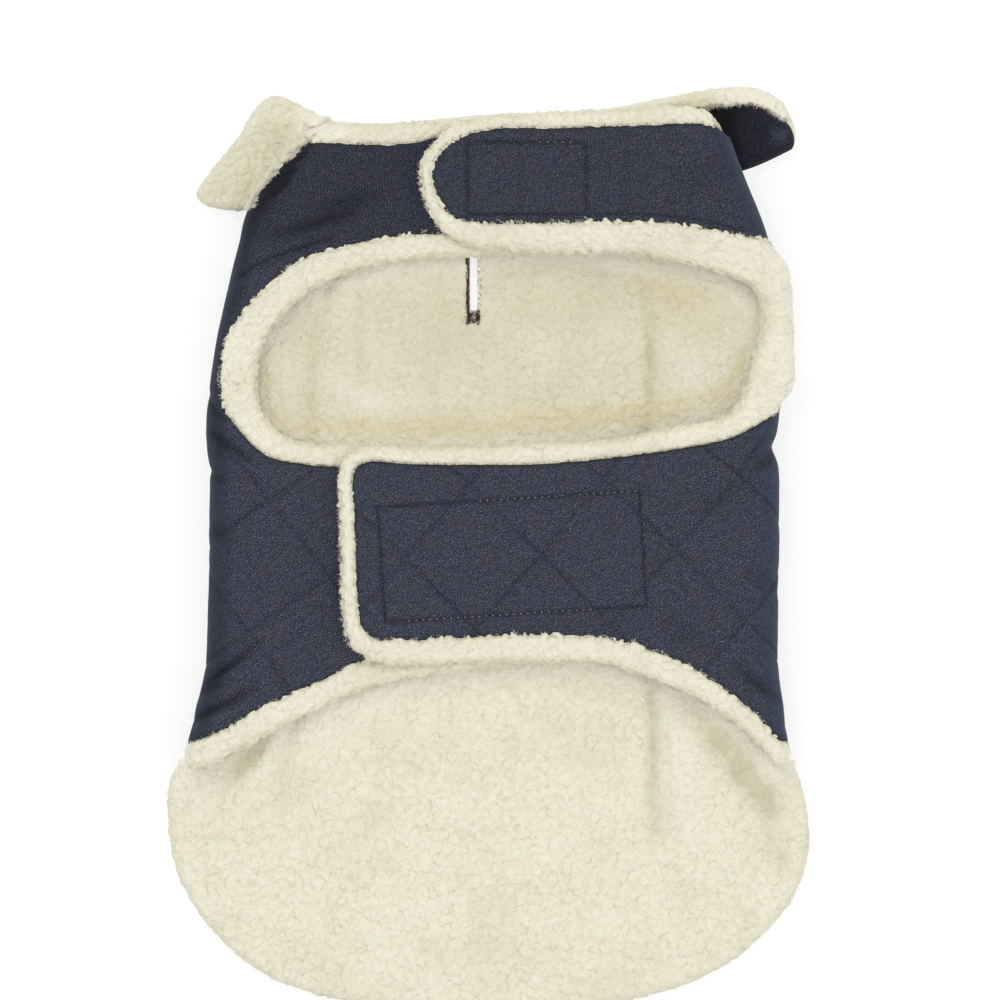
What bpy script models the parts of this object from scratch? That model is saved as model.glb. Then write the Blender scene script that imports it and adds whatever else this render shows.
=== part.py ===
"""A dog's denim jacket, laid out flat on its back with the belly side up.

Quilted denim is the outer wall and a deep pile is the lining. A back with a tail flap lies on the floor. At
each side a front comes up, folds over and lies on the back: its neck strap and its belly strap are one cut with
the leg opening between them, and the right front laps over the left one. The lining is wider than the denim, so
it rolls out past each edge. The collar is folded out under the neck, and its left tip has turned over.

Sizes are in millimetres and the solids are in metres. X runs to the viewer's right, Y towards the neck and Z up.
A front is drawn on its own flat cloth: `s` is the length along the cloth from the outermost line of the side
fold, positive over the top and negative underneath, and Y stays Y. `depth` is how far inside that outermost line
a point lies when it is seen from above, and `inward` is how far below the denim's outer face it is.
"""

import math

import bmesh
import bpy
import numpy as np
from mathutils import Vector
from mathutils.geometry import delaunay_2d_cdt

MM = 0.001

# Thickness of the layers
SHELL = 1.8
LAYER_GAP = 0.4
LINING = 4.8
PLY = SHELL + LAYER_GAP + LINING
PROUD = 0.6  # how far the lining's rolled edge stands above the denim's face
SEAM_GAP = 0.3

# The side folds and the heights of what lies on what
FOLD_RADIUS = 10.0
SIDE_LIFT = 3.0
QUARTER = FOLD_RADIUS * math.pi / 2
FOLD_TOP = SIDE_LIFT + 2 * FOLD_RADIUS
SETTLE = 50.0
LAP_GAP = PROUD + LAYER_GAP
LEFT_REST = 2 * PLY + LAYER_GAP
RIGHT_REST = LEFT_REST + LAP_GAP + PLY
SEAM_DEPTH = FOLD_RADIUS + 4.0
SEAM_TOP, SEAM_END = 193.0, -96.6
NECK_SPREAD = 1.5
NECK_STATIONS = 18
FOLD_STEPS = 5

# The collar lifts the neck off the floor
COLLAR_LIFT = 7.2
LIFT_START = 130.0
LIFT_LENGTH = 28.0
LIFT_ROWS = 4
LIFT_YS = np.linspace(LIFT_START, LIFT_START + LIFT_LENGTH, LIFT_ROWS + 1)

# Mesh spacing
EDGE_STEP = 12.0
FRONT_STEP = 18.0
BACK_STEP = 26.0
FOLD_STEP = 18.0
COLLAR_STEP = 12.0
APART = 3.0  # least distance of an inner point from an outline and from the next point
EDGE_APART = 0.7
CROWDED = 1.2
SHARP_TURN = 0.5
SLIVER = 1e-3
FAR = 1e6
ROLL_INSETS = (1.6, 4.0)
ROLL_FALL = (2.6, 0.6, 0.0)  # at the edge and at each inset
COLLAR_FALL = (0.42, 0.12, 0.0)  # the same on the collar, as a share of its thickness
STEPS = (0.0, 0.4, 0.9)  # distances from the denim's edge at which the lining steps up round it
STEP_OUT, STEP_UP = STEPS[1:]
BULGE = 6.6  # how far the lining stands out past the right side fold along the leg opening
BULGE_LOW, BULGE_HIGH = 60.0, 150.0
BULGE_FADE = 22.0
BULGE_ROUND = 4.0

# Hook and loop tape: thickness, and its place on the straps
TAPE = 1.0
TAPE_GAP = 0.3
PAD_RISE = 2 * TAPE + 3 * TAPE_GAP - LAP_GAP
PAD_RAMP = 8.0
PAD_CLEAR = 1.6
PAD_MARGIN = 0.2
PADS = {  # centre x, centre y, length, width, turn in degrees
    "neck": (18.4, 175.6, 54.0, 32.0, 0.0),
    "belly": (11.4, -3.2, 122.0, 52.5, 3.6),
}
PAD_CORNER = 2.0

# Quilting: diamonds of about 46 mm, given on each front by one crossing and the two sides of a diamond
PUFF = 1.2
GROOVE_SHARPNESS = 0.35
QUILT = {  # crossing, first side, second side
    "left": ((-75.2, -13.0), (37.6, 25.8), (29.0, -36.6)),
    "right": ((89.0, 0.0), (30.0, 35.5), (34.0, -33.5)),
}
QUILT_STOPS = (0.13, 0.5, 0.87)
QUILT_TOP = 62.0  # the neck straps above this are plain
QUILT_LOW = -8.0  # the underside beyond this length along the cloth is plain
LAP_X = -71.5  # the right front covers the left one from here on

# Creases of the back lining, where the flat bottom turns up to the sides
CREASE_DEPTH = {"left": 47.0, "right": 60.0}
CREASE_DEEP = 1.5
CREASE_WIDE = 4.0
CREASE_TOP, CREASE_END = 138.0, -150.0
CREASE_FADE = 15.0
CREASE_ASIDE = 6.0
TAIL_FLAT, TAIL_RAISED = -130.0, -95.0
TAIL_TOP = -99.0

# Leash slot through the back
SLOT_X = -6.9
SLOT_LOW, SLOT_HIGH = 113.0, 147.0
SLOT_HALF = 1.7
WELT = 1.9
WELT_END = 6.0
WELT_CORNER = 0.8
WELT_STEP = 7.0

# The collar
RIDGE_DEEP = 9.0
RIDGE_STEEP = 1.5
RIDGE_TOP = 14.2
RIDGE_TOP_TIP = 9.0
ARM = 4.8
UNDER_COLLAR = 1.8
TIP_TOP = 8.4
TIP_START, TIP_LENGTH = 108.0, 36.0  # the roll flattens to the right tip
PLATE_X = -84.0  # left of here the turned tip lies flat
PLATE_RISE, PLATE_RISE_LENGTH = 190.0, 18.0
PLATE_HIDDEN = -112.0  # right of here the tip lies under the jacket

SIGN = {"left": -1.0, "right": 1.0}

FOLD_LINES = (  # y, left fold's x, right fold's x
    (222.0, -70.0, 107.0),
    (192.5, -89.5, 115.5),
    (180.0, -101.4, 120.4),
    (161.0, -114.2, 128.5),
    (145.4, -118.5, 133.8),
    (127.0, -123.3, 136.5),
    (94.0, -130.0, 138.0),
    (63.0, -133.8, 138.3),
    (48.8, -132.8, 134.9),
    (37.0, -131.4, 137.4),
    (14.5, -131.9, 138.0),
    (-49.3, -133.0, 137.0),
    (-79.3, -139.0, 140.2),
    (-97.8, -143.3, 142.8),
    (-125.0, -146.5, 144.5),
)

# Outlines of the cloth. An "over" row is a place seen from above. An "under" row gives a depth in place of x.
LEFT_SHELL = (  # face, x or depth, y, whether the outline turns a corner there
    ("under", SEAM_DEPTH, SEAM_TOP, True),
    ("under", 0.0, 193.0, False),
    ("over", -86.6, 193.5, False),
    ("over", -69.5, 193.0, False),
    ("over", -38.6, 193.0, False),
    ("over", -22.8, 196.5, False),
    ("over", 4.8, 198.0, False),
    ("over", 40.0, 197.0, False),
    ("over", 56.0, 189.0, False),
    ("over", 61.0, 176.0, False),
    ("over", 56.0, 163.0, False),
    ("over", 40.0, 154.0, False),
    ("over", 10.0, 149.0, False),
    ("over", -34.7, 148.3, False),
    ("over", -59.0, 145.0, False),
    ("over", -88.5, 136.4, False),
    ("over", -104.0, 123.5, False),
    ("over", -116.0, 110.5, False),
    ("over", -123.0, 99.7, False),
    ("over", -125.7, 86.0, False),
    ("over", -124.3, 70.2, False),
    ("over", -117.6, 57.8, False),
    ("over", -107.6, 47.2, False),
    ("over", -96.0, 42.6, False),
    ("over", -69.0, 39.7, False),
    ("over", -20.0, 38.5, False),
    ("over", 66.0, 38.0, False),
    ("over", 80.0, 31.0, False),
    ("over", 83.0, 14.0, False),
    ("over", 83.0, -20.0, False),
    ("over", 79.0, -34.0, False),
    ("over", 64.0, -41.0, False),
    ("over", 6.0, -46.0, False),
    ("over", -30.0, -49.5, False),
    ("over", -58.0, -54.0, False),
    ("over", -82.8, -65.0, False),
    ("over", -110.4, -77.8, False),
    ("over", -125.2, -86.4, False),
    ("under", 0.0, -94.5, False),
    ("under", SEAM_DEPTH, SEAM_END, True),
)
LEFT_LINING = (
    ("under", SEAM_DEPTH, SEAM_TOP, True),
    ("under", 1.0, 196.0, False),
    ("over", -85.0, 200.6, False),
    ("over", -69.5, 201.4, False),
    ("over", -48.0, 201.1, False),
    ("over", -22.8, 203.4, False),
    ("over", 4.8, 204.6, False),
    ("over", 44.0, 203.5, False),
    ("over", 61.0, 195.0, False),
    ("over", 68.0, 176.0, False),
    ("over", 61.0, 157.0, False),
    ("over", 44.0, 145.5, False),
    ("over", 12.0, 139.7, False),
    ("over", -27.6, 138.6, False),
    ("over", -59.0, 134.0, False),
    ("over", -78.5, 126.5, False),
    ("over", -95.0, 114.0, False),
    ("over", -105.0, 101.6, False),
    ("over", -109.3, 87.0, False),
    ("over", -108.4, 70.0, False),
    ("over", -102.0, 58.5, False),
    ("over", -91.0, 51.8, False),
    ("over", -70.0, 49.8, False),
    ("over", -20.0, 48.6, False),
    ("over", 70.0, 46.5, False),
    ("over", 86.0, 38.0, False),
    ("over", 90.0, 20.0, False),
    ("over", 90.0, -24.0, False),
    ("over", 85.0, -42.0, False),
    ("over", 68.0, -50.0, False),
    ("over", 6.0, -56.0, False),
    ("over", -30.0, -60.0, False),
    ("over", -56.0, -65.3, False),
    ("over", -82.8, -76.6, False),
    ("over", -104.0, -87.5, False),
    ("over", -125.2, -98.6, False),
    ("over", -138.5, -104.5, False),
    ("under", 0.0, -99.0, False),
    ("under", 1.5, -96.6, False),
    ("under", SEAM_DEPTH, SEAM_END, True),
)
RIGHT_SHELL = (
    ("under", SEAM_DEPTH, SEAM_TOP, True),
    ("under", 0.0, 195.5, False),
    ("over", 108.0, 200.3, False),
    ("over", 96.2, 202.3, False),
    ("over", 72.8, 201.6, False),
    ("over", 30.5, 200.2, False),
    ("over", 4.8, 200.0, False),
    ("over", -12.4, 196.4, False),
    ("over", -23.8, 188.0, False),
    ("over", -27.6, 177.0, False),
    ("over", -22.5, 162.0, False),
    ("over", -12.4, 154.5, False),
    ("over", 4.8, 152.8, False),
    ("over", 54.7, 153.8, False),
    ("over", 79.0, 153.8, False),
    ("over", 103.3, 150.7, False),
    ("over", 122.0, 146.8, False),
    ("under", 0.2, 143.5, False),
    ("under", 0.4, 125.0, False),
    ("under", 0.4, 90.0, False),
    ("under", 0.1, 72.0, False),
    ("over", 130.4, 62.1, False),
    ("over", 119.0, 55.5, False),
    ("over", 104.7, 51.2, False),
    ("over", 71.4, 45.9, False),
    ("over", 20.5, 41.2, False),
    ("over", -32.8, 41.2, False),
    ("over", -57.0, 42.6, False),
    ("over", -64.6, 35.5, False),
    ("over", -64.3, 14.5, False),
    ("over", -62.0, -31.0, False),
    ("over", -56.5, -41.0, False),
    ("over", -44.7, -44.0, False),
    ("over", 20.5, -41.4, False),
    ("over", 57.6, -43.6, False),
    ("over", 91.4, -54.5, False),
    ("over", 115.2, -70.0, False),
    ("over", 127.6, -80.2, False),
    ("over", 137.0, -90.5, False),
    ("under", 0.5, -94.8, False),
    ("under", SEAM_DEPTH, SEAM_END, True),
)
RIGHT_LINING = (
    ("under", SEAM_DEPTH, SEAM_TOP, True),
    ("under", 1.0, 197.5, False),
    ("over", 108.0, 206.5, False),
    ("over", 92.0, 209.6, False),
    ("over", 72.8, 209.4, False),
    ("over", 30.5, 206.8, False),
    ("over", 2.9, 205.4, False),
    ("over", -16.0, 200.6, False),
    ("over", -28.5, 189.5, False),
    ("over", -33.0, 177.0, False),
    ("over", -28.0, 159.0, False),
    ("over", -18.0, 147.6, False),
    ("over", -2.0, 142.0, False),
    ("over", 34.3, 140.8, False),
    ("over", 68.5, 140.6, False),
    ("over", 89.0, 136.4, False),
    ("over", 109.5, 131.6, False),
    ("over", 125.0, 124.5, False),
    ("over", 130.5, 110.5, False),
    ("over", 127.0, 96.4, False),
    ("over", 122.5, 78.0, False),
    ("over", 117.5, 67.0, False),
    ("over", 108.0, 61.4, False),
    ("over", 81.9, 57.4, False),
    ("over", 53.8, 51.8, False),
    ("over", -3.8, 48.9, False),
    ("over", -42.0, 48.2, False),
    ("over", -61.0, 48.2, False),
    ("over", -70.6, 37.5, False),
    ("over", -70.6, 12.0, False),
    ("over", -69.0, -36.0, False),
    ("over", -61.0, -49.5, False),
    ("over", -42.0, -54.5, False),
    ("over", 20.5, -52.6, False),
    ("over", 57.6, -55.0, False),
    ("over", 91.4, -66.4, False),
    ("over", 112.0, -78.5, False),
    ("over", 128.0, -92.0, False),
    ("over", 137.5, -102.5, False),
    ("under", 0.0, -99.0, False),
    ("under", 1.5, -96.6, False),
    ("under", SEAM_DEPTH, SEAM_END, True),
)
TAIL_EDGE = (  # x, y: the lining's outline from the left seam round the tail to the right seam
    (-137.0, -98.4),
    (-146.5, -103.0),
    (-151.6, -111.5),
    (-152.8, -126.0),
    (-150.4, -146.0),
    (-143.8, -163.5),
    (-132.8, -180.0),
    (-118.0, -194.6),
    (-98.0, -206.6),
    (-70.0, -214.8),
    (-36.0, -218.9),
    (0.0, -220.2),
    (38.0, -218.7),
    (70.4, -214.2),
    (98.0, -206.0),
    (118.0, -194.6),
    (133.8, -181.0),
    (145.5, -166.0),
    (151.6, -150.0),
    (152.8, -134.0),
    (150.6, -116.5),
    (145.4, -103.5),
    (136.5, -98.4),
)
TAIL_INSET = 11.0
NECK_LINE = (  # x, y: the outermost line of the collar's roll
    (-102.8, 215.9),
    (-86.6, 210.2),
    (-77.1, 205.0),
    (-48.1, 202.9),
    (2.9, 207.3),
    (50.0, 208.9),
    (85.2, 215.4),
    (110.4, 219.7),
    (127.6, 220.1),
    (140.0, 213.5),
)
COLLAR_TOP = (  # x, y, corner: the pile side, from the left tip over the roll to the right tip and back
    (-139.0, 171.0, False),
    (-134.2, 177.8, False),
    (-127.0, 187.0, False),
    (-118.5, 197.5, False),
    (-111.5, 209.5, False),
    (-102.8, 215.9, False),
    (-94.0, 213.8, False),
    (-86.0, 209.6, False),
    (-77.1, 205.0, False),
    (-48.1, 202.9, False),
    (2.9, 207.3, False),
    (50.0, 208.9, False),
    (85.2, 215.4, False),
    (110.4, 219.7, False),
    (127.6, 220.1, False),
    (140.0, 213.5, False),
    (145.8, 203.0, False),
    (146.3, 194.0, False),
    (141.0, 189.6, False),
    (120.4, 180.2, False),
    (100.0, 176.5, False),
    (50.0, 174.0, False),
    (0.0, 173.0, False),
    (-66.0, 173.0, True),
    (-66.0, 193.5, True),
    (-88.0, 195.0, True),
    (-94.0, 184.0, False),
    (-99.0, 174.0, False),
    (-106.0, 165.0, False),
    (-113.0, 162.2, False),
    (-124.5, 161.6, False),
    (-136.0, 165.0, False),
)
COLLAR_UNDER = (  # x, y, corner: the denim side
    (-70.0, 192.6, True),
    (-48.0, 193.2, False),
    (2.9, 197.7, False),
    (50.0, 199.3, False),
    (85.2, 205.8, False),
    (110.0, 209.4, False),
    (124.0, 209.9, False),
    (136.0, 204.6, False),
    (143.5, 199.0, False),
    (144.6, 194.4, False),
    (139.5, 190.4, False),
    (120.0, 182.2, False),
    (100.0, 178.5, False),
    (50.0, 176.0, False),
    (0.0, 175.0, False),
    (-66.0, 175.0, False),
    (-92.0, 174.0, False),
    (-106.0, 171.0, False),
    (-120.0, 169.0, False),
    (-129.0, 171.0, False),
    (-127.0, 177.0, False),
    (-118.0, 187.0, False),
    (-108.0, 193.0, False),
    (-92.0, 192.6, True),
)
UNDER_RAMP = (-86.0, -69.0)  # from here to here the denim side climbs from the floor onto the pile

COLOURS = {  # base colour, roughness
    "denim": ((0.030, 0.042, 0.085), 0.85),
    "pile": ((0.83, 0.77, 0.62), 0.95),
    "tape": ((0.020, 0.024, 0.040), 0.9),
    "welt": ((0.10, 0.065, 0.045), 0.8),
}


def clear_scene():
    for obj in list(bpy.data.objects):
        bpy.data.objects.remove(obj, do_unlink=True)


def smoothstep(value):
    value = np.clip(value, 0.0, 1.0)
    return value * value * (3.0 - 2.0 * value)


def curve_through(points, step):
    """Evenly spaced points on a smooth open curve through the given ones, both ends kept."""
    points = np.asarray(points, float)
    if len(points) < 3:
        dense = points
    else:
        padded = np.vstack([2 * points[0] - points[1], points, 2 * points[-1] - points[-2]])
        t = np.linspace(0.0, 1.0, 12, endpoint=False)[:, None]
        runs = []
        for a, b, c, d in zip(padded, padded[1:], padded[2:], padded[3:]):
            cubic = 3 * b - 3 * c + d - a
            square = 2 * a - 5 * b + 4 * c - d
            runs.append(0.5 * (2 * b + (c - a) * t + square * t**2 + cubic * t**3))
        dense = np.vstack(runs + [points[-1:]])
    along = np.concatenate([[0.0], np.cumsum(np.linalg.norm(np.diff(dense, axis=0), axis=1))])
    count = max(1, round(along[-1] / step))
    stations = np.linspace(0.0, along[-1], count + 1)
    return np.column_stack([np.interp(stations, along, dense[:, k]) for k in (0, 1)])


def closed_outline(points, corners, step):
    """A closed outline, smooth between its corners."""
    count = len(points)
    starts = [i for i in range(count) if corners[i]]
    if not starts:
        ring = curve_through(list(points[-3:]) + list(points) + list(points[:3]), step / 4)
        first = np.argmin(np.linalg.norm(ring - points[0], axis=1))
        last = len(ring) - 1 - np.argmin(np.linalg.norm(ring[::-1] - points[0], axis=1))
        if last <= first:
            last = len(ring) - 1
        return curve_through(ring[first:last + 1], step)[:-1]
    runs = []
    for here, there in zip(starts, starts[1:] + [starts[0] + count]):
        run = [points[i % count] for i in range(here, there + 1)]
        runs.append(curve_through(run, step)[:-1])
    return np.vstack(runs)


FOLD_CURVES = {
    "left": curve_through([(row[0], row[1]) for row in FOLD_LINES], 2.0)[::-1],
    "right": curve_through([(row[0], row[2]) for row in FOLD_LINES], 2.0)[::-1],
}
NECK_CURVE = curve_through(NECK_LINE, 3.0)


def fold_x(side, y):
    """How far out from the middle a side fold's outermost line is, always positive."""
    curve = FOLD_CURVES[side]
    return SIGN[side] * np.interp(y, curve[:, 0], curve[:, 1])


def neck_y(x):
    return np.interp(x, NECK_CURVE[:, 0], NECK_CURVE[:, 1])


def floor_lift(y):
    """How far the collar underneath raises the cloth."""
    return COLLAR_LIFT * smoothstep((y - LIFT_START) / LIFT_LENGTH)


def side_lift(side, depth, y):
    """How far the bottom turns up from its crease to the side fold."""
    inner = smoothstep((depth - FOLD_RADIUS) / (CREASE_DEPTH[side] - FOLD_RADIUS))
    return SIDE_LIFT * (1.0 - inner) * smoothstep((y - TAIL_FLAT) / (TAIL_RAISED - TAIL_FLAT))


def pad_frame(name, x, y):
    """Places in a pad's own frame, its length along the first axis."""
    centre_x, centre_y, _, _, turn = PADS[name]
    c, s = math.cos(math.radians(turn)), math.sin(math.radians(turn))
    return (x - centre_x) * c + (y - centre_y) * s, (y - centre_y) * c - (x - centre_x) * s


def pad_rise(x, y):
    """How far a strap is raised by the tapes under it."""
    rise = np.zeros_like(x)
    for name, (_, _, length, width, _) in PADS.items():
        u, v = pad_frame(name, x, y)
        outside = np.maximum(np.abs(u) - length / 2, np.abs(v) - width / 2) - PAD_CLEAR
        rise = np.maximum(rise, PAD_RISE * (1.0 - smoothstep(outside / PAD_RAMP)))
    return rise


def top_height(side, x, y, depth):
    """Height of a front's outer face where it lies over the top."""
    settled = smoothstep((depth - FOLD_RADIUS) / SETTLE)
    rest = LEFT_REST
    if side == "right":
        rest = RIGHT_REST + pad_rise(x, y)
    return floor_lift(y) + FOLD_TOP + (rest - FOLD_TOP) * settled


def place_front(side, points, inward):
    """Points of a front's cloth in space: over the top, round the fold and underneath."""
    s, y = points[:, 0], points[:, 1]
    outermost = fold_x(side, y)
    angle = np.clip(s / FOLD_RADIUS, -math.pi / 2, math.pi / 2)
    radius = FOLD_RADIUS - inward
    flat = np.maximum(np.abs(s) - QUARTER, 0.0)
    depth = FOLD_RADIUS + flat
    x = SIGN[side] * (outermost - FOLD_RADIUS - flat + radius * np.cos(angle))
    fold_z = floor_lift(y) + SIDE_LIFT + FOLD_RADIUS + radius * np.sin(angle)
    over_z = top_height(side, x, y, depth) - inward
    under_z = floor_lift(y) + side_lift(side, depth, y) + inward
    z = np.where(s > QUARTER, over_z, np.where(s < -QUARTER, under_z, fold_z))
    return np.column_stack([x, y, z])


def place_back(points, inward):
    """Points of the back in space, the denim's outer face down."""
    x, y = points[:, 0], points[:, 1]
    z = floor_lift(y) + inward
    for side in ("left", "right"):
        depth = fold_x(side, y) - SIGN[side] * x
        z = z + side_lift(side, depth, y)
    return np.column_stack([x, y, z])


def along_cloth(side, face, across, y):
    """The length `s` of a place on a front."""
    depth = across if face == "under" else fold_x(side, y) - SIGN[side] * across
    if depth >= FOLD_RADIUS:
        s = QUARTER + depth - FOLD_RADIUS
    else:
        s = FOLD_RADIUS * math.acos(1.0 - max(depth, 0.0) / FOLD_RADIUS)
    return -s if face == "under" else s


def front_outline(side, rows):
    points = [(along_cloth(side, face, across, y), y) for face, across, y, _ in rows]
    return cut_front(closed_outline(points, [row[3] for row in rows], EDGE_STEP))


def seam_line(side):
    """The back's edge along a front, with the same stations as the front has."""
    y = curve_through([(0.0, SEAM_TOP), (0.0, SEAM_END)], EDGE_STEP)[:, 1]
    y[-1] -= SEAM_GAP
    return np.column_stack([SIGN[side] * (fold_x(side, y) - SEAM_DEPTH - SEAM_GAP), y])


def inside(loop, points):
    """Which points lie inside a closed outline."""
    x, y = points[:, 0][:, None], points[:, 1][:, None]
    a, b = loop, np.roll(loop, -1, axis=0)
    crosses = (a[:, 1] > y) != (b[:, 1] > y)
    rise = np.where(b[:, 1] == a[:, 1], 1e-9, b[:, 1] - a[:, 1])
    left_of = x < (b[:, 0] - a[:, 0]) * (y - a[:, 1]) / rise + a[:, 0]
    return (crosses & left_of).sum(axis=1) % 2 == 1


def distance(loop, points):
    """Distance from each point to a closed outline."""
    a, b = loop[None], np.roll(loop, -1, axis=0)[None]
    p = points[:, None]
    run = b - a
    t = np.clip(((p - a) * run).sum(2) / np.maximum((run * run).sum(2), 1e-12), 0.0, 1.0)
    return np.linalg.norm(p - a - t[..., None] * run, axis=2).min(axis=1)


def outside_distance(loop, points):
    """Distance to an outline, negative inside it."""
    away = distance(loop, points)
    return np.where(inside(loop, points), -away, away)


def offset(loop, amount):
    """A closed outline moved out by an amount, or in where it is negative."""
    run = np.roll(loop, -1, axis=0) - np.roll(loop, 1, axis=0)
    normal = np.column_stack([run[:, 1], -run[:, 0]])
    normal /= np.linalg.norm(normal, axis=1)[:, None]
    area = (loop[:, 0] * np.roll(loop[:, 1], -1) - np.roll(loop[:, 0], -1) * loop[:, 1]).sum()
    moved = loop + normal * amount * math.copysign(1.0, area)
    true = outside_distance(loop, moved) * math.copysign(1.0, amount)
    return moved, true > 0.9 * abs(amount)


def ring_round(loop, amount, keep=None):
    """A closed chain beside an outline, far away where it would leave its distance from it."""
    moved, true = offset(loop, amount) if amount else (loop, np.full(len(loop), True))
    if keep is not None:
        true = true & keep(moved)
    moved = np.where(true[:, None], moved, FAR)
    return np.vstack([moved, moved[:1]])


def cut_where(loop, axis, values):
    """A closed outline with more points where it crosses the given lines, and none left close beside those."""
    made = []
    for a, b in zip(loop, np.roll(loop, -1, axis=0)):
        made.append((a, False))
        crossed = [v for v in values if (v - a[axis]) * (v - b[axis]) < 0]
        shares = sorted((v - a[axis]) / (b[axis] - a[axis]) for v in crossed)
        made += [(a + share * (b - a), True) for share in shares]
    places = np.array([p for p, _ in made])
    crossings = np.array([p for p, crossing in made if crossing])
    result = []
    for i, (p, crossing) in enumerate(made):
        crowded = len(crossings) and np.linalg.norm(crossings - p, axis=1).min() < CROWDED
        if crossing or not crowded or abs(turn_at(places, i)) > SHARP_TURN:
            result.append(p)
    return np.array(result)


def turn_at(loop, i):
    """How far a closed outline turns at one of its points, in radians."""
    into = loop[i] - loop[i - 1]
    away = loop[(i + 1) % len(loop)] - loop[i]
    return math.atan2(into[0] * away[1] - into[1] * away[0], into @ away)


def cut_front(loop):
    """A front's outline with points where it crosses the columns round the fold and the rows of the rise."""
    loop = cut_where(loop, 0, np.linspace(-QUARTER, QUARTER, FOLD_STEPS + 1))
    return cut_where(loop, 1, LIFT_YS)


def lattice(low, high, step):
    """Staggered rows of points that fill a box, in the same places for each layer."""
    rise = 0.87 * step
    points = []
    for row in range(math.ceil(low[1] / rise), math.floor(high[1] / rise) + 1):
        shift = 0.5 * step * (row % 2)
        first = math.ceil((low[0] - shift) / step)
        last = math.floor((high[0] - shift) / step)
        points += [(shift + k * step, row * rise) for k in range(first, last + 1)]
    return np.array(points)


def lift_rows(low, high, step):
    """Rows across the neck's rise, the same on each layer."""
    xs = np.arange(math.ceil(low / step) * step, high, step)
    return [np.array([(x, y) for x in xs]) for y in LIFT_YS]


def fold_columns(low, high, step):
    """Columns round a side fold, the same on each layer."""
    ys = np.arange(math.ceil(low / step) * step, high, step)
    away = np.abs(ys[:, None] - LIFT_YS).min(axis=1) > step / 4
    between = (ys > LIFT_YS[0]) & (ys < LIFT_YS[-1])
    ys = np.sort(np.concatenate([ys[away & ~between], LIFT_YS]))
    columns = np.linspace(-QUARTER, QUARTER, FOLD_STEPS + 1)
    return [np.array([(s, y) for y in ys]) for s in columns]


class Sheet:
    """A flat cut in triangles: its points, its triangles and the loops of its edges."""

    def __init__(self, outline, holes=(), lines=(), rings=(), fill=(), beside=None):
        """`rings` may lie close to the edges; `lines` and `fill` keep off them and off `beside`."""
        loops = [np.asarray(outline, float)] + [np.asarray(hole, float) for hole in holes]
        points = []
        edges = []
        self.loops = []
        for loop in loops:
            first = len(points)
            ids = list(range(first, first + len(loop)))
            points += [tuple(p) for p in loop]
            edges += list(zip(ids, ids[1:] + ids[:1]))
            self.loops.append(ids)
        for chain, clear in [(c, EDGE_APART) for c in rings] + [(c, APART) for c in lines]:
            good = self.allowed(loops, chain, clear)
            if beside is not None and clear == APART:
                good &= distance(beside, chain) > APART
            ids = []
            for p, ok in zip(chain, good):
                ids.append(len(points) if ok else None)
                if ok:
                    points.append(tuple(p))
            pairs = [(a, b) for a, b in zip(ids, ids[1:]) if a is not None and b is not None]
            edges += [(a, b) for a, b in pairs if self.clear_run(loops, points[a], points[b])]
        for group in fill:
            good = self.allowed(loops, group, APART)
            if beside is not None:
                good &= distance(beside, group) > APART
            taken = np.array(points)
            for p in group[good]:
                if np.linalg.norm(taken - p, axis=1).min() > APART:
                    points.append(tuple(p))
        vectors = [Vector(p) for p in points]
        verts, _, faces, sources, _, _ = delaunay_2d_cdt(vectors, edges, [], 0, 1e-4)
        self.points = np.array([tuple(v) for v in verts])
        place = {source: i for i, group in enumerate(sources) for source in group}
        self.loops = [[place[i] for i in loop] for loop in self.loops]
        faces = np.array([list(face) for face in faces])
        middle = self.points[faces].mean(axis=1)
        kept = inside(loops[0], middle)
        for hole in loops[1:]:
            kept &= ~inside(hole, middle)
        a, b, c = (self.points[faces[:, k]] for k in range(3))
        doubled = np.abs((b[:, 0] - a[:, 0]) * (c[:, 1] - a[:, 1]) - (b[:, 1] - a[:, 1]) * (c[:, 0] - a[:, 0]))
        on_edge = np.isin(faces, [i for loop in self.loops for i in loop]).all(axis=1)
        self.faces = faces[kept & ~(on_edge & (doubled < SLIVER))]

    @classmethod
    def clear_run(cls, loops, a, b):
        """Whether a straight run between two points keeps inside the cut."""
        share = np.linspace(0.0, 1.0, 9)[1:-1, None]
        return cls.allowed(loops, np.array(a) + share * (np.array(b) - np.array(a)), 0.2).all()

    @staticmethod
    def allowed(loops, points, clear):
        good = inside(loops[0], points) & (distance(loops[0], points) > clear)
        for hole in loops[1:]:
            good &= ~inside(hole, points) & (distance(hole, points) > clear)
        return good


def closed_solid(name, material, outer, inner, outer_places, inner_places):
    """One closed wall between two faces that share their edge loops."""
    bm = bmesh.new()
    out_verts = [bm.verts.new(p * MM) for p in outer_places]
    in_verts = [bm.verts.new(p * MM) for p in inner_places]
    for face in outer.faces:
        bm.faces.new([out_verts[i] for i in face])
    for face in inner.faces:
        bm.faces.new([in_verts[i] for i in face])
    for out_loop, in_loop in zip(outer.loops, inner.loops):
        count = len(out_loop)
        for i in range(count):
            j = (i + 1) % count
            a, b = out_verts[out_loop[i]], out_verts[out_loop[j]]
            c, d = in_verts[in_loop[j]], in_verts[in_loop[i]]
            bm.faces.new([a, b, c])
            bm.faces.new([a, c, d])
    loose = [v for v in bm.verts if not v.link_faces]
    bmesh.ops.delete(bm, geom=loose, context="VERTS")
    bmesh.ops.recalc_face_normals(bm, faces=bm.faces)
    if bm.calc_volume(signed=True) < 0:
        bmesh.ops.reverse_faces(bm, faces=bm.faces)
    mesh = bpy.data.meshes.new(name)
    bm.to_mesh(mesh)
    bm.free()
    mesh.shade_smooth()
    mesh.set_sharp_from_angle(angle=math.radians(50))
    mesh.materials.append(material)
    obj = bpy.data.objects.new(name, mesh)
    bpy.context.scene.collection.objects.link(obj)
    return obj


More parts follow.
